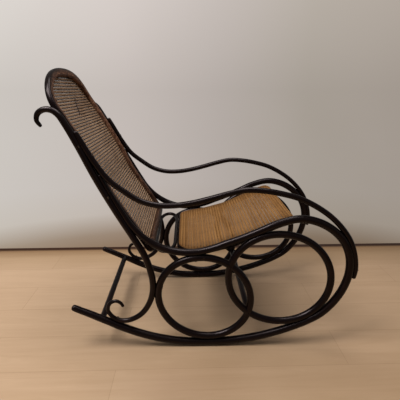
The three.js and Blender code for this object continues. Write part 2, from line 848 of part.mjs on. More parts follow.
// The same between rods that lie along each other, at a chosen place
function scarfScrew(name, outer, outerRadius, inner, shares, held) {
  const [place] = fromShares([shares]);
  const a = nearest([place], outer, place, searchReach).b;
  lapScrew(name, [a], outerRadius, inner, a, held);
}

// A screw that enters from the outside of a side frame
function crossScrew(name, place, outside, depth, held, heldMiddle) {
  const head = new THREE.Vector3(place.x, outside - fit, place.z);
  sideScrew(name, head, new THREE.Vector3(place.x, outside - depth, place.z), held, heldMiddle);
}

// A screw through a ring into what it touches
function ringScrew(ring, line, oval, touch, inner, held) {
  lapScrew(`${ring}_${touch}`, looped(line), ringRadius, inner, oval.touches[touch], [ring, held]);
}

ringScrew('rear_ring', rearRingLine, rearOval, 'foot', runnerLine, 'runner');
ringScrew('rear_ring', rearRingLine, rearOval, 'top', runnerLine, 'runner');
ringScrew('rear_ring', rearRingLine, rearOval, 'post', postLine, 'rear_post');
ringScrew('front_ring', frontRingLine, frontOval, 'foot', runnerLine, 'runner');
ringScrew('front_ring', frontRingLine, frontOval, 'top', runnerLine, 'runner');

const [scrollFoot] = fromShares([scrollFootShares]);
lapScrew('scroll', postLine, scrollRadius, runnerLine, scrollFoot, ['rear_post', 'runner']);
scarfScrew('scarf', runnerLine, railTipRadius, postLine, scarfShares, ['runner', 'rear_post']);
scarfScrew('arm_rear', armLine, armRadius, postLine, armPostShares, ['arm', 'rear_post']);
scarfScrew('arm_front', armLine, armRadius, runnerLine, armFrontShares, ['arm', 'runner']);

const rings = ['rear_ring', 'front_ring'];
crossScrew('ring_crossing', highCrossing, ringRadius, ringRadius + lapBite * 2, rings, []);
const stretcherDepth = ringRadius * 2 + screwBite;
crossScrew('front_stretcher', lowCrossing, ringRadius, stretcherDepth, rings, ['front_stretcher']);

loopScrew('loop_seat', loopFront.clone().setX(loopFront.x - loopRadius + fit),
  new THREE.Vector3(seatRear + screwBite, 0, loopFront.z), ['spacer_loop', 'seat_frame']);
loopScrew('loop_back', loopRear.clone().addScaledVector(backFoot.along, fit - loopRadius),
  backFoot.point.clone().addScaledVector(backFoot.along, screwBite), ['spacer_loop', 'back_frame']);

// The seat hangs between the tops of the rings, on long screws with a spacer round each
const spacers = [];

function hangSeat(name, line, around) {
  const beside = nearest(line, runnerLine, around, searchReach).a.clone();
  beside.x += seatScrewAside;
  const place = nearest([beside], line, beside, searchReach).b;
  const depth = ringRadius + seatInset + screwBite;
  crossScrew(`seat_${name}`, place, ringRadius, depth, [`${name}_ring`], ['seat_frame']);
  const inner = place.clone().setY(fit - seatInset);
  const outer = place.clone().setY(-ringRadius - fit);
  const bore = cylinder(place.clone().setY(-seatInset - overrun), place, screwRadius + fit, screwSides);
  const made = cylinder(inner, outer, seatSpacerRadius, turnedSides).subtract(bore);
  spacers.push({ name: `seat_spacer_${name}`, made });
}

hangSeat('rear', looped(rearRingLine), rearOval.touches.top);
hangSeat('front', looped(frontRingLine), frontOval.touches.top);

// The back is screwed through the posts where its sides lie beside them
for (const [name, share] of Object.entries(backScrewShares)) {
  const point = backPoint(backLength * share);
  const place = point.clone().lerp(nearest([point], postLine, point, searchReach).b, 1 / 2);
  crossScrew(`back_${name}`, place, postRadius, postRadius * 2 + screwBite, ['rear_post'], ['back_frame']);
}

// Every piece as a named mesh

for (const [hand, side] of Object.entries(hands)) {
  for (const [name, made] of Object.entries(sidePieces)) {
    addMesh(`${name}_${hand}`, placed(made, side), stained);
  }
  for (const { name, made } of spacers) addMesh(`${name}_${hand}`, placed(made, side), stained);
}
const caneFinishes = { seat_cane: seatCaned, back_cane: backCaned };
for (const [name, made] of Object.entries(middlePieces)) addMesh(name, made, caneFinishes[name] ?? stained);
for (const { name, made } of screws) addMesh(name, made, steel);

// The origin is the middle of the base of the box around the chair
const centre = new THREE.Box3().setFromObject(chair).getCenter(new THREE.Vector3());
for (const piece of chair.children) piece.geometry.translate(-centre.x, -centre.y, 0);

export default chair;
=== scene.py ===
# %% [markdown]
# # A bentwood rocking chair
#
# The real chair is made of beech rods that were steamed, bent round iron forms, dried and stained
# nearly black. Its seat and back are frames with cane woven across them. This script loads the
# chair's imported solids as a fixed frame, and then lays smooth rods, woven cane and worn finishes
# over them. Every length is in metres, +X is the front of the chair and +Z is up.

import json
import math
import random

import bpy
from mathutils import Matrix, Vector

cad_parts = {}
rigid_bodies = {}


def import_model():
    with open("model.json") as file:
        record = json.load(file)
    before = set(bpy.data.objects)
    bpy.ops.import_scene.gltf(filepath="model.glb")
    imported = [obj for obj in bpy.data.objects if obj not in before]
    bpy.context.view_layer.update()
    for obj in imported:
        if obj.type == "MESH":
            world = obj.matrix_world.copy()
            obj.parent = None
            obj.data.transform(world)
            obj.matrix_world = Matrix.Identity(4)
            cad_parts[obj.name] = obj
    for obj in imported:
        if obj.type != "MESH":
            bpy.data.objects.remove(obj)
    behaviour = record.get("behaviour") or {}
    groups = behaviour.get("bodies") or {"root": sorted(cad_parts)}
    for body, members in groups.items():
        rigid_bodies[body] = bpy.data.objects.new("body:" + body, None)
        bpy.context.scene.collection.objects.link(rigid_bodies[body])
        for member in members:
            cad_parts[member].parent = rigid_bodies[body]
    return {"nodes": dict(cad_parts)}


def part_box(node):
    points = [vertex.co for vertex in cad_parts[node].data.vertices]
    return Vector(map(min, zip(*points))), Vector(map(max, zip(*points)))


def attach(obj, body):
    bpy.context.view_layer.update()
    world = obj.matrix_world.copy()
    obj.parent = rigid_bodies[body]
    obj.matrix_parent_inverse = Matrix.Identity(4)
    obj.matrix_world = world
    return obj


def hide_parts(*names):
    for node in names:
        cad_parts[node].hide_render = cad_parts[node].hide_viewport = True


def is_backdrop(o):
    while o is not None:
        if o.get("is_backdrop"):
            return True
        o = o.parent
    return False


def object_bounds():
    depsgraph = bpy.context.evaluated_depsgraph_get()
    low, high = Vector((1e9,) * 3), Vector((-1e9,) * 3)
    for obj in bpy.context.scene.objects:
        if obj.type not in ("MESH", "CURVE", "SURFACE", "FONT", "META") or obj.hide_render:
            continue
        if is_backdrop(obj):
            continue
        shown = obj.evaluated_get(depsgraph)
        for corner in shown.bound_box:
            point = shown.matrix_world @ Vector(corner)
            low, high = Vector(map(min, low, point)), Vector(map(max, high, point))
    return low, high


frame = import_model()
packed_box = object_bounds()
print("packed pieces:", len(frame["nodes"]))

# %% [markdown]
# ## Sizes
#
# The solids follow a few named sizes, and the smooth pieces have to follow the same ones, so that
# each lies where its solid lies. Places along the side frames are written as shares of the chair's
# length and height, which keeps the tables short and easy to compare with a side view. The tables
# have a zero of their own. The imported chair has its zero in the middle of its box, and middle_x is
# where that middle lies in the tables.

# %% Overall sizes
chair_length = 1.040
chair_height = 0.964
frame_spacing = 0.504
wider_to_front = 0.0142
middle_x = -0.00481


def places(shares):
    return [Vector((x * chair_length, 0.0, z * chair_height)) for x, z in shares]


def side_y(x):
    return frame_spacing / 2 + wider_to_front * x


print("chair is", chair_length, "m long and", chair_height, "m high")

# %% [markdown]
# ## Smooth centre lines
#
# A bent rod has no kinks, because steamed wood takes the smoothest bend that the form allows. A
# centripetal spline does the same: it passes through every given place and makes no kink or small
# loop between two of them. Blender's own curves need handles for that, so the line is worked out
# here, place by place, and later becomes a mesh.


# %% A smooth line through given places
def between(p0, p1, p2, p3, share):
    spans = [(b - a).length ** 0.5 for a, b in ((p0, p1), (p1, p2), (p2, p3))]
    first = (p1 - p0) / spans[0] - (p2 - p0) / (spans[0] + spans[1]) + (p2 - p1) / spans[1]
    last = (p2 - p1) / spans[1] - (p3 - p1) / (spans[1] + spans[2]) + (p3 - p2) / spans[2]
    first, last = first * spans[1], last * spans[1]
    square, cube = share * share, share ** 3
    return (
        p1 * (2 * cube - 3 * square + 1)
        + first * (cube - 2 * square + share)
        + p2 * (3 * square - 2 * cube)
        + last * (cube - square)
    )


def smooth_line(spots, step):
    ends = [spots[0] * 2 - spots[1], *spots, spots[-1] * 2 - spots[-2]]
    line = []
    for i in range(len(spots) - 1):
        parts = max(1, round((spots[i + 1] - spots[i]).length / step))
        line += [between(*ends[i:i + 4], k / parts) for k in range(parts)]
    return [*line, spots[-1]]


# %% Measuring along a line, and values that change along it
def distances(line):
    along = [0.0]
    for a, b in zip(line, line[1:]):
        along.append(along[-1] + (b - a).length)
    return along


def ramp(at, stops, values):
    for i in range(1, len(stops)):
        if at <= stops[i]:
            share = (at - stops[i - 1]) / (stops[i] - stops[i - 1])
            return values[i - 1] + share * (values[i] - values[i - 1])
    return values[-1]


def tapered(stops, radii):
    return lambda at: ramp(at, stops, radii)


# %% [markdown]
# ## Making rods
#
# Every rod was turned round and tapered before it was bent. A Blender curve with a bevel gives a
# round rod quickly, but its taper and its ends are hard to steer. A tube mesh, made of one row of
# corners after another, gives full control of both. Each corner also remembers where it was on the
# straight, unbent rod, in an attribute called "grain", so that the wood's grain can follow the
# bends as it does in steamed beech.


# %% A mesh that remembers its grain
def grained_mesh(name, corners, grain, faces):
    mesh = bpy.data.meshes.new(name)
    mesh.from_pydata([tuple(corner) for corner in corners], [], faces)
    remembered = mesh.attributes.new("grain", "FLOAT_VECTOR", "POINT")
    remembered.data.foreach_set("vector", [n for spot in grain for n in spot])
    mesh.polygons.foreach_set("use_smooth", [True] * len(mesh.polygons))
    mesh.update()
    return mesh


def rows_mesh(name, rows, grain, closed):
    """Joins rows of corners into a hoop, or into a rod with a cap at each end."""
    sides = len(rows[0])
    faces = []
    for i in range(len(rows) if closed else len(rows) - 1):
        here, there = i * sides, ((i + 1) % len(rows)) * sides
        for k in range(sides):
            turn = (k + 1) % sides
            faces.append((here + k, here + turn, there + turn, there + k))
    corners = [corner for row in rows for corner in row]
    if not closed:
        faces.append(tuple(range(sides))[::-1])
        faces.append(tuple(range(len(corners) - sides, len(corners))))
    return grained_mesh(name, corners, [spot for row in grain for spot in row], faces)


# %% A mesh becomes a piece of the chair
def turn_outwards(mesh):
    volume = 0.0
    for face in mesh.polygons:
        volume += face.center.dot(face.normal) * face.area
    if volume < 0:
        mesh.flip_normals()


def make_piece(name, mesh, node):
    turn_outwards(mesh)
    piece = bpy.data.objects.new(name, mesh)
    bpy.context.scene.collection.objects.link(piece)
    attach(piece, "root")
    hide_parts(node)
    return piece


# %% A round rod along a line
rod_sides = 20
end_rounding = ((-0.5, 1.0), (-0.2, 0.96), (0.06, 0.86), (0.25, 0.68), (0.38, 0.44), (0.44, 0.2))


def rod_rows(line, radius_at, closed, sides, settle):
    """Rows of corners round a line; an open line gets rounded ends."""
    along = distances([*line, line[0]] if closed else line)
    rows, grain = [], []

    def add_row(centre, tangent, radius, distance):
        normal = Vector((-tangent.z, 0.0, tangent.x))
        row, spots = [], []
        for k in range(sides):
            angle = (k + 0.5) / sides * math.tau
            corner = centre + normal * (radius * math.cos(angle))
            corner.y += radius * math.sin(angle)
            row.append(settle(corner))
            spots.append((radius * math.cos(angle), radius * math.sin(angle), distance))
        rows.append(row)
        grain.append(spots)

    count = len(line)
    for i, centre in enumerate(line):
        before = line[(i - 1) % count if closed else max(0, i - 1)]
        after = line[(i + 1) % count if closed else min(count - 1, i + 1)]
        tangent = (after - before).normalized()
        radius = radius_at(along[i] / along[-1])
        if closed or 0 < i < count - 1:
            add_row(centre, tangent, radius, along[i])
            continue
        outwards = 1 if i else -1
        for beyond, narrow in end_rounding[::outwards]:
            reach = outwards * radius * beyond
            add_row(centre + tangent * reach, tangent, radius * narrow, along[i] + reach)
    return rows, grain


# %% The same rod on both sides of the chair
hands = {"left": 1, "right": -1}


def side_rod(name, node, line, radius_at, closed=False):
    for hand, side in hands.items():
        def settle(corner, side=side):
            y = side * (side_y(corner.x) + corner.y)
            return Vector((corner.x - middle_x, y, corner.z))

        rows, grain = rod_rows(line, radius_at, closed, rod_sides, settle)
        mesh = rows_mesh(f"{name}_{hand}", rows, grain, closed)
        make_piece(f"{name}_{hand}", mesh, f"{node}_{hand}")
    print(name, "has", len(rows) * rod_sides, "corners on each side")


# %% [markdown]
# ## Runners
#
# The longest rod of each side is the runner. It starts behind as a blunt tail, rocks on the floor
# in a shallow curve, turns up in a wide loop in front, comes back under the seat as a rail, and
# climbs along the post behind the back, where it ends thin. It could be joined from arcs, but the
# eye sees where one arc meets the next, so one long smooth line gives all of it. Only the part that
# touches the floor follows a formula, a parabola on each side of a short flat, because a line
# through a few given places could dip below the floor there.

# %% Places along the runner
fine_step = 0.009
runner_radius = 0.014
rocker_flat = 0.044
rocker_steps = 5
rear_rise, front_rise = 0.979, 0.776
rear_reach, front_reach = 0.2922, 0.2925
stand_x = -0.0127 * chair_length
tail_shares = [(-0.4577, 0.1670), (-0.435, 0.155), (-0.403, 0.139), (-0.371, 0.122), (-0.338, 0.105)]
front_loop_shares = [
    (0.337, 0.099), (0.386, 0.132), (0.427, 0.182), (0.454, 0.238), (0.467, 0.299), (0.462, 0.362),
    (0.438, 0.419), (0.397, 0.464), (0.345, 0.494), (0.287, 0.505), (0.216, 0.487), (0.164, 0.462),
    (0.112, 0.438), (0.059, 0.417), (0.006, 0.396), (-0.049, 0.384), (-0.106, 0.387), (-0.160, 0.406),
    (-0.207, 0.439), (-0.245, 0.484), (-0.274, 0.537), (-0.307, 0.604), (-0.333, 0.660),
]


def rocker_place(x):
    rise = chair_height * (rear_rise if x < stand_x else front_rise)
    distance = max(0.0, abs(x - stand_x) - rocker_flat / 2)
    return Vector((x, 0.0, runner_radius + rise * (distance / chair_length) ** 2))


def rocker_line():
    rear = rear_reach * chair_length - rocker_flat / 2
    front = front_reach * chair_length - rocker_flat / 2
    behind = [stand_x - rocker_flat / 2 - rear * i / rocker_steps for i in range(rocker_steps, -1, -1)]
    ahead = [stand_x + rocker_flat / 2 + front * i / rocker_steps for i in range(rocker_steps + 1)]
    return [rocker_place(x) for x in behind + ahead]


runner_line = smooth_line(places(tail_shares) + rocker_line() + places(front_loop_shares), fine_step)
print("runner is", round(distances(runner_line)[-1], 3), "m long")

# %% Runner rods
rail_radius = 0.012
runner_taper = [0, 0.08, 0.60, 0.70, 0.87, 1]
runner_radii = [0.0115, 0.0139, 0.0139, rail_radius, rail_radius, 0.005]
side_rod("bent_runner", "runner", runner_line, tapered(runner_taper, runner_radii))

# %% [markdown]
# ## Posts
#
# Each post starts above in an open hook, runs down behind the back and under the seat, and curls
# up at its foot into a small scroll that rests on the runner. The hook and the scroll are too tight
# for the long steps of the runner, so the places lie closer there and the step is halved.

# %% Post rods
post_shares = [
    (-0.489, 0.819), (-0.499, 0.836), (-0.494, 0.857), (-0.476, 0.869), (-0.455, 0.868), (-0.437, 0.855),
    (-0.419, 0.824), (-0.392, 0.767), (-0.345, 0.653), (-0.293, 0.542), (-0.237, 0.432), (-0.210, 0.376),
    (-0.192, 0.315), (-0.185, 0.254), (-0.196, 0.193), (-0.226, 0.140), (-0.267, 0.113), (-0.299, 0.110),
    (-0.325, 0.124), (-0.341, 0.154), (-0.333, 0.182), (-0.312, 0.192), (-0.297, 0.184), (-0.289, 0.170),
]
post_radius = 0.0115
post_taper = [0, 0.035, 0.18, 0.66, 0.80, 1]
post_radii = [0.0055, 0.0084, post_radius, post_radius, 0.0095, 0.0055]
post_line = smooth_line(places(post_shares), fine_step / 2)
side_rod("bent_post", "rear_post", post_line, tapered(post_taper, post_radii))

# %% [markdown]
# ## Arms
#
# An arm is a thinner rod. It leaves the post behind the back, dips, rises again over the seat, and
# turns down in front to lie against the loop of the runner. It keeps its thickness nearly to the
# end, where it was cut down to meet the loop, and so its taper is short.

# %% Arm rods
arm_shares = [
    (-0.392, 0.800), (-0.368, 0.749), (-0.340, 0.696), (-0.307, 0.646), (-0.263, 0.607), (-0.216, 0.574),
    (-0.162, 0.557), (-0.105, 0.556), (-0.049, 0.565), (0.007, 0.580), (0.061, 0.596), (0.116, 0.608),
    (0.173, 0.605), (0.229, 0.594), (0.284, 0.577), (0.335, 0.550), (0.382, 0.516), (0.423, 0.474),
    (0.457, 0.424), (0.478, 0.368), (0.487, 0.308), (0.485, 0.278),
]
arm_taper = [0, 0.03, 0.965, 1]
arm_radii = [0.0075, 0.0095, 0.0095, 0.0072]
arm_line = smooth_line(places(arm_shares), fine_step)
side_rod("bent_arm", "arm", arm_line, tapered(arm_taper, arm_radii))

# %% [markdown]
# ## Rings
#
# Two hand-bent ovals join the runner, the seat rail and the post on each side. They carry the seat,
# and where they cross they are halved into each other. A torus would be truly round, which these
# are not. An oval needs only a centre and two half-axes, which lean here because the rings lean.

# %% Ring rods
ring_radius = 0.0125
ring_steps = 96
rings = {
    "rear_ring": ((-0.0134, 0.1945), (-0.1408, 0.0880), (-0.0805, -0.1289)),
    "front_ring": ((0.2470, 0.2654), (-0.1675, 0.0677), (-0.0620, -0.1534)),
}


def oval_line(centre, long, short):
    line = []
    for i in range(ring_steps):
        turn = i / ring_steps * math.tau
        x = centre[0] + long[0] * math.cos(turn) + short[0] * math.sin(turn)
        z = centre[1] + long[1] * math.cos(turn) + short[1] * math.sin(turn)
        line.append(Vector((x, 0.0, z)))
    return line


for ring, axes in rings.items():
    side_rod(f"bent_{ring}", ring, oval_line(*axes), lambda at: ring_radius, closed=True)

# %% [markdown]
# ## Frame bars
#
# The seat and the back are hoops of a flat bar, not of a round rod. Its edges were rounded off with
# a spokeshave. Both hoops are made alike: a flat plan gives the middle of the bar and the way
# outwards at each place, the bar's section is carried along it, and each corner is then laid onto
# the curved seat or back. A bevel modifier could round a plain bar too, but it would follow the
# bends less evenly than a section that is round from the start.

# %% The section of a bar, swept round a plan
corner_arc = 5


def bar_section(width, thickness, rounding):
    section = []
    for quarter, (a, t) in enumerate(((1, 1), (-1, 1), (-1, -1), (1, -1))):
        for k in range(corner_arc):
            turn = math.pi / 2 * (quarter + k / (corner_arc - 1))
            across = a * (width / 2 - rounding) + rounding * math.cos(turn)
            through = t * (thickness / 2 - rounding) + rounding * math.sin(turn)
            section.append((across, through))
    return section


def swept_hoop(name, plan, section, lay, node):
    rows, grain, distance = [], [], 0.0
    for i, (p, q, out_p, out_q) in enumerate(plan):
        if i:
            distance += math.hypot(p - plan[i - 1][0], q - plan[i - 1][1])
        rows.append([lay(p + a * out_p, q + a * out_q, t) for a, t in section])
        grain.append([(a, t, distance) for a, t in section])
    print(name, "has", len(rows) * len(section), "corners")
    return make_piece(name, rows_mesh(name, rows, grain, closed=True), node)


# %% [markdown]
# ## Seat frame
#
# The seat is a flat oblong hoop of beech with rounded corners. It follows the wave of the rails: it
# lies low behind, rises towards the front and rolls down at its front edge. Its plan is worked out
# for one side, from the middle of the rear to the middle of the front, and then mirrored.

# %% The seat's profile
seat_top_shares = [
    (-0.115, 0.376), (-0.054, 0.376), (0.000, 0.385), (0.048, 0.398), (0.096, 0.413), (0.144, 0.436),
    (0.192, 0.460), (0.240, 0.483), (0.274, 0.492), (0.298, 0.484),
]
seat_top_line = smooth_line(places(seat_top_shares), fine_step)
seat_top_x = [spot.x for spot in seat_top_line]
seat_top_z = [spot.z for spot in seat_top_line]


def seat_top(x):
    return ramp(x, seat_top_x, seat_top_z)


print("seat top is", round(max(seat_top_z), 3), "m high in front")

# %% The seat's plan
seat_rail_gap = 0.018
plan_step = fine_step * 1.5
seat_rear = -0.1058 * chair_length
seat_front = 0.2923 * chair_length
seat_inset = rail_radius + seat_rail_gap
seat_bar_width, seat_bar_thickness, seat_bar_rounding = 0.036, 0.022, 0.008
seat_rear_corner, seat_front_corner = 0.070, 0.038
seat_corner_steps = 10


def quarter_turns(steps):
    return [k / steps * math.pi / 2 for k in range(steps)]


def seat_plan(inset):
    """Half of the seat's edge, moved inwards by the inset, with the way outwards at each place."""
    rear_corner, front_corner = seat_rear_corner - inset, seat_front_corner - inset
    rear_x, front_x = seat_rear + seat_rear_corner, seat_front - seat_front_corner
    half_plan = []

    def half(x):
        return side_y(x) - seat_inset - inset

    for turn in quarter_turns(seat_corner_steps):
        x = rear_x - rear_corner * math.cos(turn)
        y = half(rear_x) - rear_corner * (1 - math.sin(turn))
        half_plan.append((x, y, -math.cos(turn), math.sin(turn)))
    steps = round((front_x - rear_x) / plan_step)
    for i in range(steps):
        x = rear_x + i / steps * (front_x - rear_x)
        half_plan.append((x, half(x), 0.0, 1.0))
    for turn in [*quarter_turns(seat_corner_steps), math.pi / 2]:
        x = front_x + front_corner * math.sin(turn)
        y = half(front_x) - front_corner * (1 - math.cos(turn))
        half_plan.append((x, y, math.sin(turn), math.cos(turn)))
    return half_plan


# %% Seat frame as a swept bar
bar_cross_steps = 8


def seat_frame_plan():
    half_plan = seat_plan(seat_bar_width / 2)
    rear_x, rear_y = half_plan[0][:2]
    front_x, front_y = half_plan[-1][:2]
    steps = range(bar_cross_steps)
    across_rear = [(rear_x, rear_y * k / bar_cross_steps, -1.0, 0.0) for k in steps]
    across_front_shadow = [(front_x, front_y * (1 - (k + 1) / bar_cross_steps), 1.0, 0.0) for k in steps]
    plan = across_rear + half_plan + across_front_shadow
    return plan + [(x, -y, out_x, -out_y) for x, y, out_x, out_y in reversed(plan[1:-1])]


def on_seat_frame(x, y, through):
    return Vector((x - middle_x, y, seat_top(x) - seat_bar_thickness / 2 + through))


seat_section = bar_section(seat_bar_width, seat_bar_thickness, seat_bar_rounding)
seat_hoop = swept_hoop("seat_hoop", seat_frame_plan(), seat_section, on_seat_frame, "seat_frame")

# %% [markdown]
# ## Back frame
#
# The back is a second hoop, with straight sides, an arched top and a gentle bend along its height.
# Its plan is laid out flat, as places across the back and up it, and is then bent onto the profile
# of the back. The arch is fuller than half an ellipse, so it follows a superellipse, which needs
# only one more number for its fullness.

# %% The back's profile
back_shares = [
    (-0.184, 0.371), (-0.223, 0.441), (-0.309, 0.592), (-0.340, 0.666), (-0.395, 0.777), (-0.428, 0.838),
    (-0.462, 0.900), (-0.491, 1.000),
]
back_step = 0.017
back_line = smooth_line(places(back_shares), back_step)
back_along = distances(back_line)
back_length = back_along[-1]
back_x = [spot.x for spot in back_line]
back_z = [spot.z for spot in back_line]


def back_point(distance):
    return Vector((ramp(distance, back_along, back_x), 0.0, ramp(distance, back_along, back_z)))


def way_forwards(distance):
    near = min(max(distance, back_step), back_length - back_step)
    upwards = (back_point(near + back_step) - back_point(near - back_step)).normalized()
    return Vector((upwards.z, 0.0, -upwards.x))


def on_back_frame(across, up, through):
    spot = back_point(up) + way_forwards(up) * through
    return Vector((spot.x - middle_x, across, spot.z))


print("back is", round(back_length, 3), "m long along its curve")

# %% The back's plan
back_bar_width, back_bar_thickness, back_bar_rounding = 0.027, 0.020, 0.0072
clearance = 0.0003
back_inset = post_radius + clearance
back_corner = 0.034
back_corner_steps = 8
arch_steps = 28
arch_rise = 0.3175 * frame_spacing
arch_fullness = 2.4


def back_half(up, inset):
    return side_y(back_point(up).x) - back_inset - inset


def arch_place(turn, half, rise, spring):
    """A place on the arch and the way outwards there; the sides end at the height of spring."""
    wide, high = math.cos(turn) ** (2 / arch_fullness), math.sin(turn) ** (2 / arch_fullness)
    normal = Vector((wide ** (arch_fullness - 1) / half, high ** (arch_fullness - 1) / rise))
    normal.normalize()
    return half * wide, spring + rise * high, normal.x, normal.y


def back_plan(inset):
    """Half of the back's edge, moved inwards by the inset, with the way outwards at each place."""
    corner = back_corner - inset
    spring = back_length - arch_rise
    half_plan = []
    for turn in quarter_turns(back_corner_steps):
        across = back_half(back_corner, inset) - corner * (1 - math.sin(turn))
        half_plan.append((across, back_corner - corner * math.cos(turn), math.sin(turn), -math.cos(turn)))
    steps = round((spring - back_corner) / plan_step)
    for i in range(steps):
        up = back_corner + i / steps * (spring - back_corner)
        half_plan.append((back_half(up, inset), up, 1.0, 0.0))
    half = back_half(spring, inset)
    for turn in [*quarter_turns(arch_steps), math.pi / 2]:
        half_plan.append(arch_place(turn, half, arch_rise - inset, spring))
    return half_plan


# %% Back frame as a swept bar
def back_frame_plan():
    half_plan = back_plan(back_bar_width / 2)
    foot_across, foot_up = half_plan[0][:2]
    foot = [(foot_across * k / bar_cross_steps, foot_up, 0.0, -1.0) for k in range(bar_cross_steps)]
    plan = foot + half_plan
    return plan + [(-across, up, -out_a, out_u) for across, up, out_a, out_u in reversed(plan[1:-1])]


back_section = bar_section(back_bar_width, back_bar_thickness, back_bar_rounding)
back_hoop = swept_hoop("back_hoop", back_frame_plan(), back_section, on_back_frame, "back_frame")

# %% [markdown]
# ## Spacer loop and stretchers
#
# Between the foot of the back and the rear of the seat lies a small closed loop of thinner rod,
# which keeps the two frames apart. Two turned stretchers hold the side frames at their distance:
# one between the tails of the runners and one between the rings. The loop is two half ovals with
# straight sides between them, so a formula gives its line. A stretcher is plainer still, and takes
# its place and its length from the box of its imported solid.

# %% Spacer loop
loop_radius = 0.007
loop_sides = 16
loop_end_steps, loop_side_steps = 24, 10
loop_end = 0.1587 * frame_spacing
loop_straight = 0.4067 * frame_spacing - loop_radius - loop_end
loop_rear_x, loop_front_x, loop_z = -0.18731, -0.11733, 0.35089


def loop_line():
    middle, half = (loop_rear_x + loop_front_x) / 2, (loop_front_x - loop_rear_x) / 2
    line = []
    for side in (1, -1):
        for i in range(loop_end_steps + 1):
            turn = i / loop_end_steps * math.pi
            x = middle + side * half * math.cos(turn)
            line.append(Vector((x, 0.0, side * (loop_straight + loop_end * math.sin(turn)))))
        x = middle - side * half
        for k in range(1, loop_side_steps):
            line.append(Vector((x, 0.0, side * loop_straight * (1 - 2 * k / loop_side_steps))))
    return line


def lie_flat(corner):
    return Vector((corner.x - middle_x, corner.z, loop_z - corner.y))


rows, grain = rod_rows(loop_line(), lambda at: loop_radius, True, loop_sides, lie_flat)
loop_mesh = rows_mesh("bent_spacer_loop", rows, grain, closed=True)
make_piece("bent_spacer_loop", loop_mesh, "spacer_loop")
print("spacer loop reaches", round(loop_straight + loop_end + loop_radius, 3), "m to each side")

# %% Stretchers
stretcher_radius = 0.011
stretcher_steps = 20
stretcher_end = [(-1.0, 0.0095), (-0.996, 0.0105), (-0.98, stretcher_radius)]
stretcher_profile = [
    *stretcher_end,
    *((k / stretcher_steps, stretcher_radius) for k in range(1 - stretcher_steps, stretcher_steps)),
    *((-share, radius) for share, radius in reversed(stretcher_end)),
]


def turned_bar(name, node):
    low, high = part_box(node)
    x, z, reach = (low[0] + high[0]) / 2, (low[2] + high[2]) / 2, (high[1] - low[1]) / 2
    rows, grain = [], []
    for share, radius in stretcher_profile:
        turns = [k / rod_sides * math.tau for k in range(rod_sides)]
        spots = [(radius * math.cos(turn), radius * math.sin(turn), share * reach) for turn in turns]
        rows.append([Vector((x + forwards, y, z + upwards)) for forwards, upwards, y in spots])
        grain.append(spots)
    make_piece(name, rows_mesh(name, rows, grain, closed=False), node)
    print(name, "reaches", round(reach, 4), "m to each side")


for node in ("rear_stretcher", "front_stretcher"):
    turned_bar(f"turned_{node}", node)

# %% [markdown]
# ## Helpers for materials
#
# A material is a small net of nodes. Made by hand in the editor, it is a matter of adding a node,
# typing its values and drawing links. These helpers do the same three things in one call each, so
# that a finish below reads as a list of what it is made of.


# %% Nodes, links and values
def new_material(name):
    material = bpy.data.materials.new(name)
    material.use_nodes = True
    return material, material.node_tree, material.node_tree.nodes["Principled BSDF"]


def set_sockets(tree, node, values):
    for socket, value in values.items():
        if isinstance(value, bpy.types.NodeSocket):
            tree.links.new(value, node.inputs[socket])
        else:
            node.inputs[socket].default_value = value


def add_node(tree, kind, values=None, **settings):
    node = tree.nodes.new(kind)
    for key, value in settings.items():
        setattr(node, key, value)
    set_sockets(tree, node, values or {})
    return node


def calculate(tree, operation, *values):
    return add_node(tree, "ShaderNodeMath", dict(enumerate(values)), operation=operation).outputs[0]


# %% Where a spot of the surface lies
def grain_place(tree):
    return add_node(tree, "ShaderNodeAttribute", attribute_name="grain").outputs["Vector"]


def stretched_grain(tree, stretch):
    values = {0: grain_place(tree), 1: stretch}
    return add_node(tree, "ShaderNodeVectorMath", values, operation="MULTIPLY").outputs[0]


def object_place(tree):
    return add_node(tree, "ShaderNodeTexCoord").outputs["Object"]


def stretched_place(tree, place, stretch, shift=(0.0, 0.0, 0.0)):
    values = {"Vector": place, "Scale": stretch, "Location": shift}
    return add_node(tree, "ShaderNodeMapping", values).outputs[0]


def part_of(tree, vector, axis):
    return add_node(tree, "ShaderNodeSeparateXYZ", {0: vector}).outputs[axis]


# %% Noise, ramps, mixed colours and bumps
def noise(tree, vector, scale, detail, roughness):
    values = {"Vector": vector, "Scale": scale, "Detail": detail, "Roughness": roughness}
    return add_node(tree, "ShaderNodeTexNoise", values).outputs["Fac"]


def grey_ramp(tree, fac, start, stop, low, high):
    values = {"Value": fac, "From Min": start, "From Max": stop, "To Min": low, "To Max": high}
    return add_node(tree, "ShaderNodeMapRange", values).outputs["Result"]


def colour_ramp(tree, fac, stops):
    node = add_node(tree, "ShaderNodeValToRGB", {"Fac": fac})
    for element, (position, colour) in zip(node.color_ramp.elements, (stops[0], stops[-1])):
        element.position = position
        element.color = (*colour, 1.0)
    for position, colour in stops[1:-1]:
        node.color_ramp.elements.new(position).color = (*colour, 1.0)
    return node.outputs["Color"]


def opaque(colour):
    return colour if isinstance(colour, bpy.types.NodeSocket) else (*colour, 1.0)


def mix_colours(tree, fac, first, second, blend="MIX"):
    node = add_node(tree, "ShaderNodeMix", data_type="RGBA", blend_type=blend)
    set_sockets(tree, node, {0: fac, 6: opaque(first), 7: opaque(second)})
    return node.outputs[2]


def bumped(tree, height, strength, depth):
    values = {"Height": height, "Strength": strength, "Distance": depth}
    return add_node(tree, "ShaderNodeBump", values).outputs["Normal"]


# %% [markdown]
# ## Stained wood
#
# The rods were stained nearly black and polished. Age has let the reddish brown of the wood come
# through in places. A picture of wood would need its own unwrapping for every bend. The "grain"
# attribute does that work instead: noise stretched along it makes the fibres, a slower noise makes
# the worn patches, and a thin clear coat is the polish.

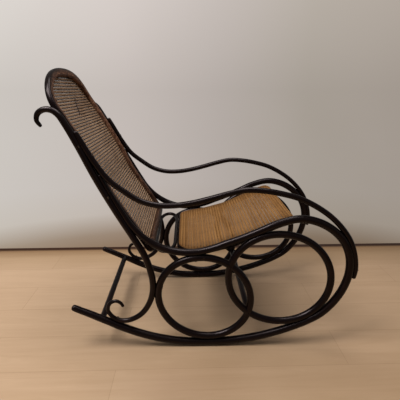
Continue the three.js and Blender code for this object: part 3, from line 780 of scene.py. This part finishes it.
# %% Stained bentwood
reddish_shine = (1.0, 0.80, 0.84, 1.0)
rod_fibres, rod_patches = (900.0, 900.0, 18.0), (40.0, 40.0, 9.0)
worn_between = (0.58, 0.82)


def stained_wood(name, dark, mid, worn):
    material, tree, shader = new_material(name)
    fibres = noise(tree, stretched_grain(tree, rod_fibres), 1.0, 5.0, 0.6)
    patches = noise(tree, stretched_grain(tree, rod_patches), 1.0, 3.0, 0.5)
    stain = colour_ramp(tree, fibres, [(0.30, dark), (0.62, mid)])
    rubbed = grey_ramp(tree, patches, *worn_between, 0.0, 1.0)
    set_sockets(tree, shader, {
        "Base Color": mix_colours(tree, rubbed, stain, worn),
        "Roughness": grey_ramp(tree, patches, 0.3, 0.7, 0.22, 0.32),
        "Normal": bumped(tree, fibres, 0.05, 0.0005),
        "Specular IOR Level": 0.17,
        "Specular Tint": reddish_shine,
        "Coat Weight": 0.07,
        "Coat Roughness": 0.12,
    })
    return material


rod_finish = stained_wood(
    "stained_bentwood",
    dark=(0.0012, 0.0005, 0.0005),
    mid=(0.0036, 0.0015, 0.0014),
    worn=(0.014, 0.0055, 0.0045),
)
print("rods are finished with", rod_finish.name)

# %% [markdown]
# ## Rubbed hoops
#
# Clothes and hands have rubbed the stain off the hoops, but only on the side that a sitter touches,
# and less towards the foot of the back. The grain attribute tells the sides of the bar apart: its
# first number runs across the bar and its second through it. A dot product with a bare side gives a
# smooth edge between stain and bare wood, which a separate piece or a painted mask would not follow
# so closely. The bare wood is mottled, because dirt and old polish stay in its pores.

# %% Hoops, worn on the sitter's side
hoop_fibres, hoop_mottle = (700.0, 700.0, 30.0), (110.0, 110.0, 95.0)
fades_between = (0.42, 0.66)
near_black = (0.0030, 0.0014, 0.0014)


def rubbed_wood(name, bare_side, edges, least, bare_colours):
    material, tree, shader = new_material(name)
    values = {0: grain_place(tree), 1: bare_side}
    facing = add_node(tree, "ShaderNodeVectorMath", values, operation="DOT_PRODUCT").outputs["Value"]
    fibres = noise(tree, stretched_grain(tree, hoop_fibres), 1.0, 5.0, 0.6)
    mottle = noise(tree, stretched_grain(tree, hoop_mottle), 1.0, 4.0, 0.7)
    tint = grey_ramp(tree, calculate(tree, "ADD", fibres, mottle), 0.84, 1.16, 0.0, 1.0)
    bare = colour_ramp(tree, tint, list(zip((0.0, 0.5, 1.0), bare_colours)))
    height = part_of(tree, object_place(tree), "Z")
    upwards = grey_ramp(tree, height, *fades_between, least, 1.0)
    rubbed = calculate(tree, "MULTIPLY", grey_ramp(tree, facing, *edges, 0.0, 1.0), upwards)
    set_sockets(tree, shader, {
        "Base Color": mix_colours(tree, rubbed, near_black, bare),
        "Roughness": grey_ramp(tree, rubbed, 0.0, 1.0, 0.24, 0.50),
        "Normal": bumped(tree, tint, 0.08, 0.0006),
        "Specular IOR Level": 0.12,
        "Specular Tint": reddish_shine,
    })
    return material


seat_hoop_finish = rubbed_wood(
    "golden_hoop",
    bare_side=(-0.8, 1.0, 0.0),
    edges=(0.0045, 0.013),
    least=1.0,
    bare_colours=((0.070, 0.032, 0.011), (0.140, 0.068, 0.024), (0.21, 0.11, 0.045)),
)
back_hoop_finish = rubbed_wood(
    "reddish_hoop",
    bare_side=(-1.0, 0.35, 0.0),
    edges=(-0.007, 0.009),
    least=0.35,
    bare_colours=((0.018, 0.007, 0.004), (0.094, 0.040, 0.023), (0.22, 0.115, 0.064)),
)
print("hoops are finished with", seat_hoop_finish.name, "and", back_hoop_finish.name)

# %% Dress the wooden pieces
rods = [piece for piece in bpy.data.objects if piece.name.startswith(("bent_", "turned_"))]
for piece in rods:
    piece.data.materials.append(rod_finish)
seat_hoop.data.materials.append(seat_hoop_finish)
back_hoop.data.materials.append(back_hoop_finish)
print(len(rods), "rods and two hoops are dressed")

# %% [markdown]
# ## Woven cane
#
# Six-way cane is woven from six sets of strands: pairs of uprights, pairs of level strands, and two
# sets that slant through the square gaps and leave the well-known eight-sided holes. A texture
# would lie flat, so each strand is a real ribbon here. It rises and dips where it passes over and
# under the others, and sinks at the panel's edge. Real cane has a crowned top and a nearly flat
# underside. The ribbon has a ridge below instead, so that it doesn't look too thin where the weave
# is seen at a slant.

# %% Sizes of the weave
cane_pitch = 0.0105
pair_gap = 0.0029
strand_width = 0.0025
strand_height = 0.0009
weave_height = 0.0008
dive = 0.006
steps_per_wave = 4
strand_section = ((-0.5, 0.1), (-0.24, 0.95), (0.24, 0.95), (0.5, 0.1), (0.0, -1.0))


# %% Where a strand starts and ends
parallel = 1e-12


def clip(outline, start, way):
    """The lowest and highest place along a line at which it crosses the outline."""
    cuts = []
    for (x1, y1), (x2, y2) in zip(outline, outline[1:] + outline[:1]):
        edge_x, edge_y = x2 - x1, y2 - y1
        turn = way[0] * edge_y - way[1] * edge_x
        if abs(turn) < parallel:
            continue
        along = ((x1 - start[0]) * edge_y - (y1 - start[1]) * edge_x) / turn
        edge = ((x1 - start[0]) * way[1] - (y1 - start[1]) * way[0]) / turn
        if 0 <= edge < 1:
            cuts.append(along)
    return (min(cuts), max(cuts)) if len(cuts) >= 2 else None


def joining(base, comes, goes):
    """Faces from the last row of corners to the row that starts at base, and caps at free ends."""
    sides = len(strand_section)
    faces = []
    if comes:
        turns = [(k, (k + 1) % sides) for k in range(sides)]
        faces += [(base - sides + k, base - sides + turn, base + turn, base + k) for k, turn in turns]
    if comes and not goes:
        faces.append(tuple(range(base, base + sides)))
    if goes and not comes:
        faces.append(tuple(range(base, base + sides))[::-1])
    return faces


# %% One strand of cane
def whole(u, v):
    return False


def strand(outline, start, way, wave, height_at, lay, seed, broken, mesh_parts):
    """Adds one strand to its set: from edge to edge, apart from where it is broken."""
    ends = clip(outline, start, way)
    if not ends or ends[1] - ends[0] < cane_pitch:
        return
    steps = max(2, math.ceil((ends[1] - ends[0]) / (wave / steps_per_wave)))
    corners, grain, faces = mesh_parts
    side = (-way[1], way[0])
    comes = False
    for i in range(steps + 1):
        at = ends[0] + (ends[1] - ends[0]) * i / steps
        u, v = start[0] + way[0] * at, start[1] + way[1] * at
        goes = i < steps and not broken(u, v)
        lift = height_at(u, v) * min(1.0, (at - ends[0]) / dive, (ends[1] - at) / dive)
        base = len(corners)
        faces += joining(base, comes, goes)
        if not (comes or goes):
            continue
        comes = goes
        for across, rise in strand_section:
            a, b = u + side[0] * across * strand_width, v + side[1] * across * strand_width
            corners.append(lay(a, b, lift + rise * strand_height))
            grain.append((across * strand_width, seed, at))


# %% [markdown]
# ## Six sets over a panel
#
# A caner strings the leading pairs first, pulls them tight and threads the others through them. A
# list of every crossing could say which strand is over and which is under, but it would be long.
# Here each set has a middle height and a swing instead, in units of the weave's height, and a cosine
# makes a strand rise over one crossing and dive under the next. The leading pairs lie highest and
# swing least, and the slanting strands lie lowest.

# %% Six sets of strands over a panel
leading_wave, following_wave, slanting_wave = (1.9, 0.3), (0.9, 0.4), (0.7, 0.4)
slant = math.sqrt(0.5)


def wave_height(middle, swing, at):
    return weave_height * (middle + swing * math.cos(math.tau * at / cane_pitch))


def weave(outline, lay, leading, chance, broken=whole):
    """Strands of a panel by set; the leading set is pulled tightest and lies highest."""
    sets = {"upright": ([], [], []), "level": ([], [], []), "slanting": ([], [], [])}
    low_u, high_u = min(u for u, _ in outline), max(u for u, _ in outline)
    low_v, high_v = min(v for _, v in outline), max(v for _, v in outline)

    def pairs(kind, low, high, way, first_over):
        middle, swing = leading_wave if kind == leading else following_wave
        gap = broken if kind == leading else whole
        for i in range(math.floor(low / cane_pitch), math.ceil(high / cane_pitch) + 1):
            for side in (-1, 1):
                at = i * cane_pitch + side * pair_gap / 2

                def height_at(u, v, turn=side * first_over):
                    return wave_height(middle, swing * turn, u * way[0] + v * way[1])

                start = (at * way[1], at * way[0])
                strand(outline, start, way, cane_pitch, height_at, lay, chance.random(), gap, sets[kind])

    pairs("upright", low_u, high_u, (0.0, 1.0), 1)
    pairs("level", low_v, high_v, (1.0, 0.0), -1)
    middle, swing = slanting_wave
    for turn in (-1, 1):
        ends = [u - turn * v for u in (low_u, high_u) for v in (low_v, high_v)]
        for i in range(math.floor(min(ends) / cane_pitch), math.ceil(max(ends) / cane_pitch) + 1):

            def height_at(u, v, turn=turn):
                return wave_height(middle, swing * turn, u)

            start, way, wave = ((i + 0.5) * cane_pitch, 0.0), (turn * slant, slant), cane_pitch / slant
            strand(outline, start, way, wave, height_at, lay, chance.random(), whole, sets["slanting"])
    return sets


# %% Sets of strands become pieces
def dressed_piece(name, mesh, finish, cane):
    mesh.materials.append(finish)
    make_piece(name, mesh, cane)


def weave_pieces(cane, sets, leading, finishes):
    for kind, (corners, grain, faces) in sets.items():
        name = f"{cane}_{kind}"
        # Following sets get the darker copy of the finish, painted shade for strands that lie lower.
        finish = finishes[0 if kind == leading else 1]
        dressed_piece(name, grained_mesh(name, corners, grain, faces), finish, cane)
        print(name, "has", len(faces), "faces")


# %% [markdown]
# ## Binding and stitches
#
# A wider strand, the binding, hides the ends of the cane all round a panel. It is held down by a
# short stitch over it at every pitch of the weave, through the holes of the frame. A curve with a
# bevel could make the binding too, but it would have to be turned to lie flat on the curved panel. A
# swept section is laid on the panel corner by corner, and each stitch is a short strand that arches
# over the binding.

# %% Even spots round an edge
binding_width = 0.0044
binding_height = 0.0020
binding_step = cane_pitch / 3
binding_seed = 0.5
binding_section = (
    (-0.5, -0.2), (-0.46, 0.55), (-0.25, 0.9), (0.0, 1.0), (0.25, 0.9), (0.46, 0.55), (0.5, -0.2)
)


def round_the_edge(outline, step):
    """Even spots round an outline, each with its distance, the way along and the way aside."""
    ring = [*outline, outline[0]]
    along = distances([Vector((u, v, 0.0)) for u, v in ring])
    count = round(along[-1] / step)

    def spot(at):
        at %= along[-1]
        return Vector((ramp(at, along, [u for u, _ in ring]), ramp(at, along, [v for _, v in ring])))

    for k in range(count):
        at = k * along[-1] / count
        way = (spot(at + step) - spot(at - step)).normalized()
        yield at, spot(at), way, Vector((-way.y, way.x))


# %% Binding round a panel
def bind_edge(cane, outline, lay, finish):
    rows, grain = [], []
    for at, spot, _, side in round_the_edge(outline, binding_step):
        across_edge = [(spot + side * (across * binding_width), rise) for across, rise in binding_section]
        rows.append([lay(*place, rise * binding_height) for place, rise in across_edge])
        grain.append([(across * binding_width, binding_seed, at) for across, _ in binding_section])
    name = f"{cane}_binding"
    dressed_piece(name, rows_mesh(name, rows, grain, closed=True), finish, cane)
    print(name, "has", len(rows), "rows of corners")


# %% Stitches over the binding
stitch_reach = 0.0030
stitch_width = 0.0018
stitch_steps = 6
stitch_top, stitch_drop = 1.25, 1.1


def stitch_edge(cane, outline, lay, finish):
    corners, grain, faces = [], [], []
    for at, spot, way, side in round_the_edge(outline, cane_pitch):
        for i in range(stitch_steps + 1):
            share = i / (stitch_steps / 2) - 1
            reach = share * stitch_reach
            lift = binding_height * (stitch_top - stitch_drop * abs(share) ** 3)
            faces += joining(len(corners), i > 0, i < stitch_steps)
            for across, rise in strand_section:
                u, v = spot + side * reach + way * (across * stitch_width)
                corners.append(lay(u, v, lift + rise * strand_height / 2))
                grain.append((across * stitch_width, at % 1.0, reach))
    name = f"{cane}_stitches"
    dressed_piece(name, grained_mesh(name, corners, grain, faces), finish, cane)
    print(name, "has", len(faces), "faces")


# %% [markdown]
# ## Cane finishes
#
# Cane is the skin of a palm. New cane is pale and glossy, and light and dirt turn it golden and
# then brown, each strand a little differently. One colour for all would look like plastic, so each
# strand carries a number of its own in its grain, which white noise turns into a tint. Slow noise
# along the strand, a smudge over the whole panel and fine fibres are added to it, and the panel is
# made darker towards its sides. Strands that lie lower get a darker copy of the finish, which is
# painted shade for the light that reaches them less.

# %% Cane finish
cane_fibres, cane_slow, smudge_scale = (2600.0, 900.0, 30.0), (0.0, 60.0, 14.0), 9.0
edge_darkening_between = (0.165, 0.212)


def cane_finish(name, dark, mid, light, uneven, edge_darkening):
    material, tree, shader = new_material(name)
    seed = add_node(tree, "ShaderNodeCombineXYZ", {"X": part_of(tree, grain_place(tree), "Y")})
    each = add_node(tree, "ShaderNodeTexWhiteNoise", {"Vector": seed.outputs[0]}).outputs["Value"]
    fibres = noise(tree, stretched_grain(tree, cane_fibres), 1.0, 3.0, 0.5)
    slow = noise(tree, stretched_grain(tree, cane_slow), 1.0, 3.0, 0.5)
    smudge = noise(tree, object_place(tree), smudge_scale, 3.0, 0.5)
    tint = calculate(tree, "MULTIPLY_ADD", each, uneven, slow)
    tint = calculate(tree, "ADD", tint, smudge)
    tint = calculate(tree, "ADD", tint, fibres)
    tint = grey_ramp(tree, tint, 1.0 + uneven * 0.1, 2.0 + uneven * 0.9, 0.0, 1.0)
    colour = colour_ramp(tree, tint, [(0.0, dark), (0.5, mid), (1.0, light)])
    # The panel is made darker towards its left and right sides.
    outwards = calculate(tree, "ABSOLUTE", part_of(tree, object_place(tree), "Y"))
    darker_at_sides = grey_ramp(tree, outwards, *edge_darkening_between, 0.0, edge_darkening)
    set_sockets(tree, shader, {
        "Base Color": mix_colours(tree, darker_at_sides, colour, dark),
        "Roughness": grey_ramp(tree, fibres, 0.3, 0.7, 0.34, 0.55),
        "Normal": bumped(tree, fibres, 0.3, 0.0002),
        "Specular IOR Level": 0.12,
    })
    return material


# %% Golden cane for the seat, browned cane for the back
golden = ((0.090, 0.041, 0.012), (0.212, 0.102, 0.031), (0.32, 0.174, 0.061))
# The shaded copies are painted shade: darker colours for strands that lie lower and get less light.
golden_shaded = ((0.062, 0.026, 0.007), (0.155, 0.070, 0.020), (0.25, 0.126, 0.041))
browned = ((0.155, 0.085, 0.046), (0.300, 0.188, 0.114), (0.44, 0.30, 0.195))
browned_shaded = ((0.012, 0.006, 0.004), (0.040, 0.020, 0.011), (0.085, 0.048, 0.028))
seat_cane_finishes = (
    cane_finish("golden_cane", *golden, uneven=0.7, edge_darkening=0.6),
    cane_finish("golden_cane_shaded", *golden_shaded, uneven=0.7, edge_darkening=0.6),
)
back_cane_finishes = (
    cane_finish("browned_cane", *browned, uneven=0.4, edge_darkening=0.2),
    cane_finish("browned_cane_shaded", *browned_shaded, uneven=0.4, edge_darkening=0.2),
)
print("cane finishes:", [finish.name for finish in seat_cane_finishes + back_cane_finishes])

# %% [markdown]
# ## Seat cane
#
# The seat's cane lies on top of its hoop, and is woven through holes near the hoop's outer edge. An
# outline of its own could stray from the hoop, so it takes the seat's plan again, moved inwards. The
# strands from side to side lead. They are the upright ones of the plan, because the front of the
# seat is on the plan's right.

# %% Seat cane
cane_lift = 0.0005
seat_cane_inset = 0.009
seat_seed = 4
seat_half = [(x, y) for x, y, _, _ in seat_plan(seat_cane_inset)]
seat_outline = seat_half + [(x, -y) for x, y in reversed(seat_half)]


def on_seat(x, y, lift):
    return Vector((x - middle_x, y, seat_top(x) + cane_lift + lift))


seat_sets = weave(seat_outline, on_seat, "upright", random.Random(seat_seed))
weave_pieces("seat_cane", seat_sets, "upright", seat_cane_finishes)
# The binding and its stitches use the darker copy of the finish, with its painted shade.
bind_edge("seat_cane", seat_outline, on_seat, seat_cane_finishes[1])
stitch_edge("seat_cane", seat_outline, on_seat, seat_cane_finishes[1])

# %% [markdown]
# ## Back cane
#
# The back's cane is strung inside its hoop, a little behind the middle of the bar, and its level
# strands lead. A few of them have snapped high up in the middle, and left a short slanting crack.
# Cutting them in a finished mesh would leave open ends. The crack is only a test of a place on the
# panel instead: a strand stops where the test says so and starts again beyond, with a cap on each
# free end.

# %% The back cane's outline and its crack
back_cane_set_back = 0.0054
into_bar = 0.0015
edge_margin = 0.0018
torn_up, torn_reach, torn_width = 0.550, 0.030, 0.018
back_seed = 7


def back_edge(margin):
    """The hoop's inner edge, moved into the bar by a margin."""
    inwards = back_bar_width / 2 - margin
    half_edge = [
        (across - inwards * out_a, up - inwards * out_u)
        for across, up, out_a, out_u in back_plan(back_bar_width / 2)
    ]
    return half_edge + [(-across, up) for across, up in reversed(half_edge)]


def on_back(across, up, lift):
    return on_back_frame(across, up, lift - back_cane_set_back)


def torn(across, up):
    """A short slanting crack, where level strands have snapped."""
    return abs(up - torn_up) < torn_reach and abs(across - (up - torn_up)) < torn_width / 2


print("crack is", 2 * torn_reach, "m high")

# %% Back cane
binding_outline = back_edge(-edge_margin)
back_sets = weave(back_edge(into_bar), on_back, "level", random.Random(back_seed), torn)
weave_pieces("back_cane", back_sets, "level", back_cane_finishes)
# The binding and its stitches use the darker copy of the finish, with its painted shade.
bind_edge("back_cane", binding_outline, on_back, back_cane_finishes[1])
stitch_edge("back_cane", binding_outline, on_back, back_cane_finishes[1])

# %% [markdown]
# ## Screws and spacers
#
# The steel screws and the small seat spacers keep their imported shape, which is fine enough for
# their size. They only need a finish: steel that has browned with age, and the same stained wood.
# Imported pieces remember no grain, so both finishes read the object's own coordinates.

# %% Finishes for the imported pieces
steel_spots, block_fibres = 420.0, (900.0, 60.0, 900.0)


def browned_steel(name, dark, light):
    material, tree, shader = new_material(name)
    spots = noise(tree, object_place(tree), steel_spots, 5.0, 0.6)
    set_sockets(tree, shader, {
        "Base Color": colour_ramp(tree, spots, [(0.35, dark), (0.65, light)]),
        "Roughness": grey_ramp(tree, spots, 0.3, 0.7, 0.62, 0.45),
        "Metallic": 0.8,
    })
    return material


def stained_block(name, dark, mid):
    material, tree, shader = new_material(name)
    fibres = noise(tree, stretched_place(tree, object_place(tree), block_fibres), 1.0, 4.0, 0.6)
    set_sockets(tree, shader, {
        "Base Color": colour_ramp(tree, fibres, [(0.3, dark), (0.7, mid)]),
        "Roughness": grey_ramp(tree, fibres, 0.3, 0.7, 0.34, 0.5),
        "Normal": bumped(tree, fibres, 0.15, 0.0005),
    })
    return material


# %% Dress the screws and spacers
packed_finishes = {
    "screw_": browned_steel("browned_steel", (0.012, 0.007, 0.005), (0.080, 0.060, 0.046)),
    "seat_spacer_": stained_block("stained_spacer", (0.0065, 0.0036, 0.0030), (0.024, 0.012, 0.009)),
}
for beginning, finish in packed_finishes.items():
    dressed = [node for name, node in frame["nodes"].items() if name.startswith(beginning)]
    for node in dressed:
        for holder in node.material_slots:
            holder.material = finish
    print(len(dressed), "pieces are finished with", finish.name)

# %% [markdown]
# ## Floor
#
# The chair stands on pale wooden boards that end a little behind it. A brick texture lays the
# boards, with long thin bricks and very narrow mortar for the joints, and stretched noise streaks
# them. Painted light makes the floor lighter towards the window on the left, and painted shadow
# makes it duller in front of the chair and nearly black along its far end. Lamps could do some of
# that, but they would light the chair unevenly too, so this light and shade is painted on the boards.

# %% Boards
floor_end_y = 0.617
floor_reach = 14.0
board_length, board_width, board_joint, board_offset = 1.25, 0.18, 0.0011, 0.37
board_start, streak_stretch = (0.31, 0.01, 0.0), (2.2, 26.0, 1.0)


def board_colours(tree, place):
    boards = add_node(tree, "ShaderNodeTexBrick", {
        "Vector": stretched_place(tree, place, (1.0, 1.0, 1.0), board_start),
        "Color1": (1.0, 1.0, 1.0, 1.0), "Color2": (0.93, 0.92, 0.90, 1.0), "Mortar": (0.72, 0.68, 0.62, 1.0),
        "Brick Width": board_length, "Row Height": board_width,
        "Scale": 1.0, "Mortar Size": board_joint, "Mortar Smooth": 0.6,
    }, offset=board_offset)
    return boards.outputs["Color"]


def board_streaks(tree, place):
    return add_node(tree, "ShaderNodeTexNoise", {
        "Vector": stretched_place(tree, place, streak_stretch),
        "Scale": 1.0, "Detail": 6.0, "Roughness": 0.62, "Distortion": 1.4,
    }).outputs["Fac"]


# %% Painted light and shade on the floor, by place
across_room, across_front_shadow = (-1.4, 1.4), (-0.6, 0.4)
front_shadow_between, far_end_shade_between = (-0.27, -0.43), (0.34, floor_end_y)


# Painted window light: the boards are lighter on the left, towards the window, and darker to the right.
def painted_window_light(tree, x):
    return colour_ramp(tree, grey_ramp(tree, x, *across_room, 0.0, 1.0), [
        (0.0, (1.10, 1.10, 1.12)), (0.22, (1.06, 1.06, 1.08)),
        (0.5, (0.86, 0.85, 0.83)), (1.0, (0.78, 0.76, 0.74)),
    ])


# Painted shadow of the chair: the boards in front of it are darker across its middle.
def painted_front_shadow(tree, x):
    return colour_ramp(tree, grey_ramp(tree, x, *across_front_shadow, 0.0, 1.0), [
        (0.15, (1.0, 1.0, 1.0)), (0.33, (0.875, 0.875, 0.875)), (0.48, (0.77, 0.75, 0.74)),
        (0.64, (0.77, 0.75, 0.72)), (0.79, (0.86, 0.85, 0.83)), (1.0, (0.87, 0.85, 0.81)),
    ])


# Painted shade: the boards darken towards the far end, and a nearly black painted shadow lies along their
# edge, where the hung sheet meets the floor.
def painted_far_end_shade(tree, y):
    return colour_ramp(tree, grey_ramp(tree, y, *far_end_shade_between, 0.0, 1.0), [
        (0.0, (1.0, 1.0, 1.0)), (0.55, (0.84, 0.82, 0.76)),
        (0.83, (0.55, 0.48, 0.38)), (0.90, (0.07, 0.03, 0.012)),
    ])


# %% Floor finish
def floor_finish():
    material, tree, shader = new_material("pale_boards")
    place = object_place(tree)
    x, y = part_of(tree, place, "X"), part_of(tree, place, "Y")
    streaks = board_streaks(tree, place)
    cloudy = grey_ramp(tree, noise(tree, place, 2.6, 3.0, 0.5), 0.3, 0.7, 0.0, 0.10)
    front_shadow_share = grey_ramp(tree, y, *front_shadow_between, 0.0, 1.0)
    beige = colour_ramp(tree, streaks, [(0.28, (0.450, 0.305, 0.190)), (0.72, (0.515, 0.357, 0.232))])
    beige = mix_colours(tree, 1.0, beige, board_colours(tree, place), "MULTIPLY")
    beige = mix_colours(tree, 1.0, beige, painted_window_light(tree, x), "MULTIPLY")
    beige = mix_colours(tree, cloudy, beige, (0.36, 0.23, 0.14))
    beige = mix_colours(tree, front_shadow_share, beige, painted_front_shadow(tree, x), "MULTIPLY")
    set_sockets(tree, shader, {
        "Base Color": mix_colours(tree, 1.0, beige, painted_far_end_shade(tree, y), "MULTIPLY"),
        "Roughness": grey_ramp(tree, streaks, 0.3, 0.7, 0.42, 0.55),
        "Specular IOR Level": 0.3,
    })
    return material


# %% Floor
floor_corners = [
    (-floor_reach, -floor_reach, 0), (floor_reach, -floor_reach, 0),
    (floor_reach, floor_end_y, 0), (-floor_reach, floor_end_y, 0),
]
floor_mesh = bpy.data.meshes.new("floor")
floor_mesh.from_pydata(floor_corners, [], [(0, 1, 2, 3)])
floor_mesh.materials.append(floor_finish())
floor = bpy.data.objects.new("floor", floor_mesh)
bpy.context.scene.collection.objects.link(floor)
floor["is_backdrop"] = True
print("floor ends", floor_end_y, "m behind the middle of the chair")

# %% [markdown]
# ## World
#
# Behind the chair hangs a pale paper sheet. A mesh for it would hide the chair from behind, so the
# world shows the sheet's colours to the camera instead, with painted light and shade: lighter to
# the left, towards the window, lighter high up, and darker low down, a painted shade where the
# sheet bends to the floor. Light Path's Is Camera Ray keeps these colours off the chair, which is
# lit by an even, slightly warm world.


# %% Colours of the hung sheet
def hung_sheet(tree):
    """The sheet's colour in each direction behind the chair, with painted window light and painted shade."""
    direction = add_node(tree, "ShaderNodeTexCoord").outputs["Generated"]
    sideways = grey_ramp(tree, part_of(tree, direction, "X"), -0.5, 0.5, 0.0, 1.0)
    # Painted window light: the sheet is lighter to the left and darker to the right.
    sheet = colour_ramp(tree, sideways, [
        (0.0, (0.610, 0.575, 0.535)), (0.34, (0.545, 0.490, 0.460)), (0.58, (0.450, 0.402, 0.372)),
        (0.80, (0.375, 0.333, 0.290)), (1.0, (0.350, 0.305, 0.265)),
    ])
    height = grey_ramp(tree, part_of(tree, direction, "Z"), -0.40, 0.20, 0.0, 1.0)
    # Painted shade low down, where the sheet bends to the floor, and painted light higher up.
    bend = colour_ramp(tree, height, [
        (0.0, (0.50, 0.38, 0.27)), (0.045, (0.58, 0.48, 0.38)), (0.13, (0.95, 0.93, 0.89)),
        (0.25, (1.0, 1.0, 1.0)), (0.65, (1.0, 1.0, 1.0)), (1.0, (1.24, 1.25, 1.26)),
    ])
    slow = grey_ramp(tree, noise(tree, direction, 5.0, 2.0, 0.4), 0.3, 0.7, 0.0, 0.10)
    sheet = mix_colours(tree, 1.0, sheet, bend, "MULTIPLY")
    return mix_colours(tree, slow, sheet, (0.52, 0.46, 0.42))


# %% World
room_colour, room_strength = (0.60, 0.57, 0.54, 1.0), 0.34


def light_the_room(tree):
    light = tree.nodes["Background"]
    set_sockets(tree, light, {"Color": room_colour, "Strength": room_strength})
    shown = add_node(tree, "ShaderNodeBackground", {"Color": hung_sheet(tree), "Strength": 1.0})
    seen = add_node(tree, "ShaderNodeLightPath").outputs["Is Camera Ray"]
    mixed = add_node(tree, "ShaderNodeMixShader", {0: seen, 1: light.outputs[0], 2: shown.outputs[0]})
    set_sockets(tree, tree.nodes["World Output"], {"Surface": mixed.outputs[0]})


world = bpy.data.worlds.new("room")
world.use_nodes = True
bpy.context.scene.world = world
light_the_room(world.node_tree)
print("world is", world.name)

# %% [markdown]
# ## Lamps
#
# A large window stands high on the left, towards the camera, and the room's ceiling gives back some
# of its light. Both are area lamps, because a large lamp makes the soft shadows that the floor
# shows, which a point or sun lamp would not.

# %% Lamps
lit_middle = (0.0, 0.0, 0.3)


def area_lamp(name, at, size, watts, colour):
    data = bpy.data.lights.new(name, "AREA")
    data.shape = "RECTANGLE"
    data.size, data.size_y = size
    data.energy = watts
    data.color = colour
    lamp = bpy.data.objects.new(name, data)
    lamp.location = at
    lamp.rotation_euler = (Vector(lit_middle) - Vector(at)).to_track_quat("-Z", "Y").to_euler()
    bpy.context.scene.collection.objects.link(lamp)
    print(name, "lamp gives", watts, "watts")


area_lamp("window", at=(-1.15, -0.75, 2.5), size=(1.1, 1.1), watts=66.0, colour=(1.0, 0.98, 0.95))
area_lamp("ceiling", at=(0.2, 0.1, 2.7), size=(1.6, 1.2), watts=40.0, colour=(1.0, 0.97, 0.94))

# %% [markdown]
# ## Camera
#
# The photograph was taken from the chair's right, about as high as the top of the back, with the
# camera tilted down by about 17 degrees. The lens is slightly wide, which is why the far side looks
# smaller. The two side frames have the same shape, and the camera's place and lens follow from how
# much smaller the far one looks.

# %% Camera
lens_data = bpy.data.cameras.new("camera")
lens_data.sensor_width = 36.0
lens_data.lens = 32.85
camera = bpy.data.objects.new("camera", lens_data)
camera.location = (-0.0618, -1.3734, 0.9024)
looking = Vector((0.0313, 0.9546, -0.2962))
camera.rotation_euler = looking.to_track_quat("-Z", "Y").to_euler()
bpy.context.scene.collection.objects.link(camera)
bpy.context.scene.camera = camera
bpy.context.scene.view_settings.view_transform = "Standard"
print("camera stands", round(camera.location.length, 2), "m from the floor under the chair's middle")

# %% [markdown]
# ## The two boxes
#
# The smooth pieces are meant to lie within the solids that they stand for. Both boxes, the packed
# one and the dressed one, are kept and printed side by side.

# %% Keep both boxes and finish
dressed_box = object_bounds()
[[list(map(float, corner)) for corner in box] for box in (packed_box, dressed_box)]
print("packed box", packed_box)
print("dressed box", dressed_box)
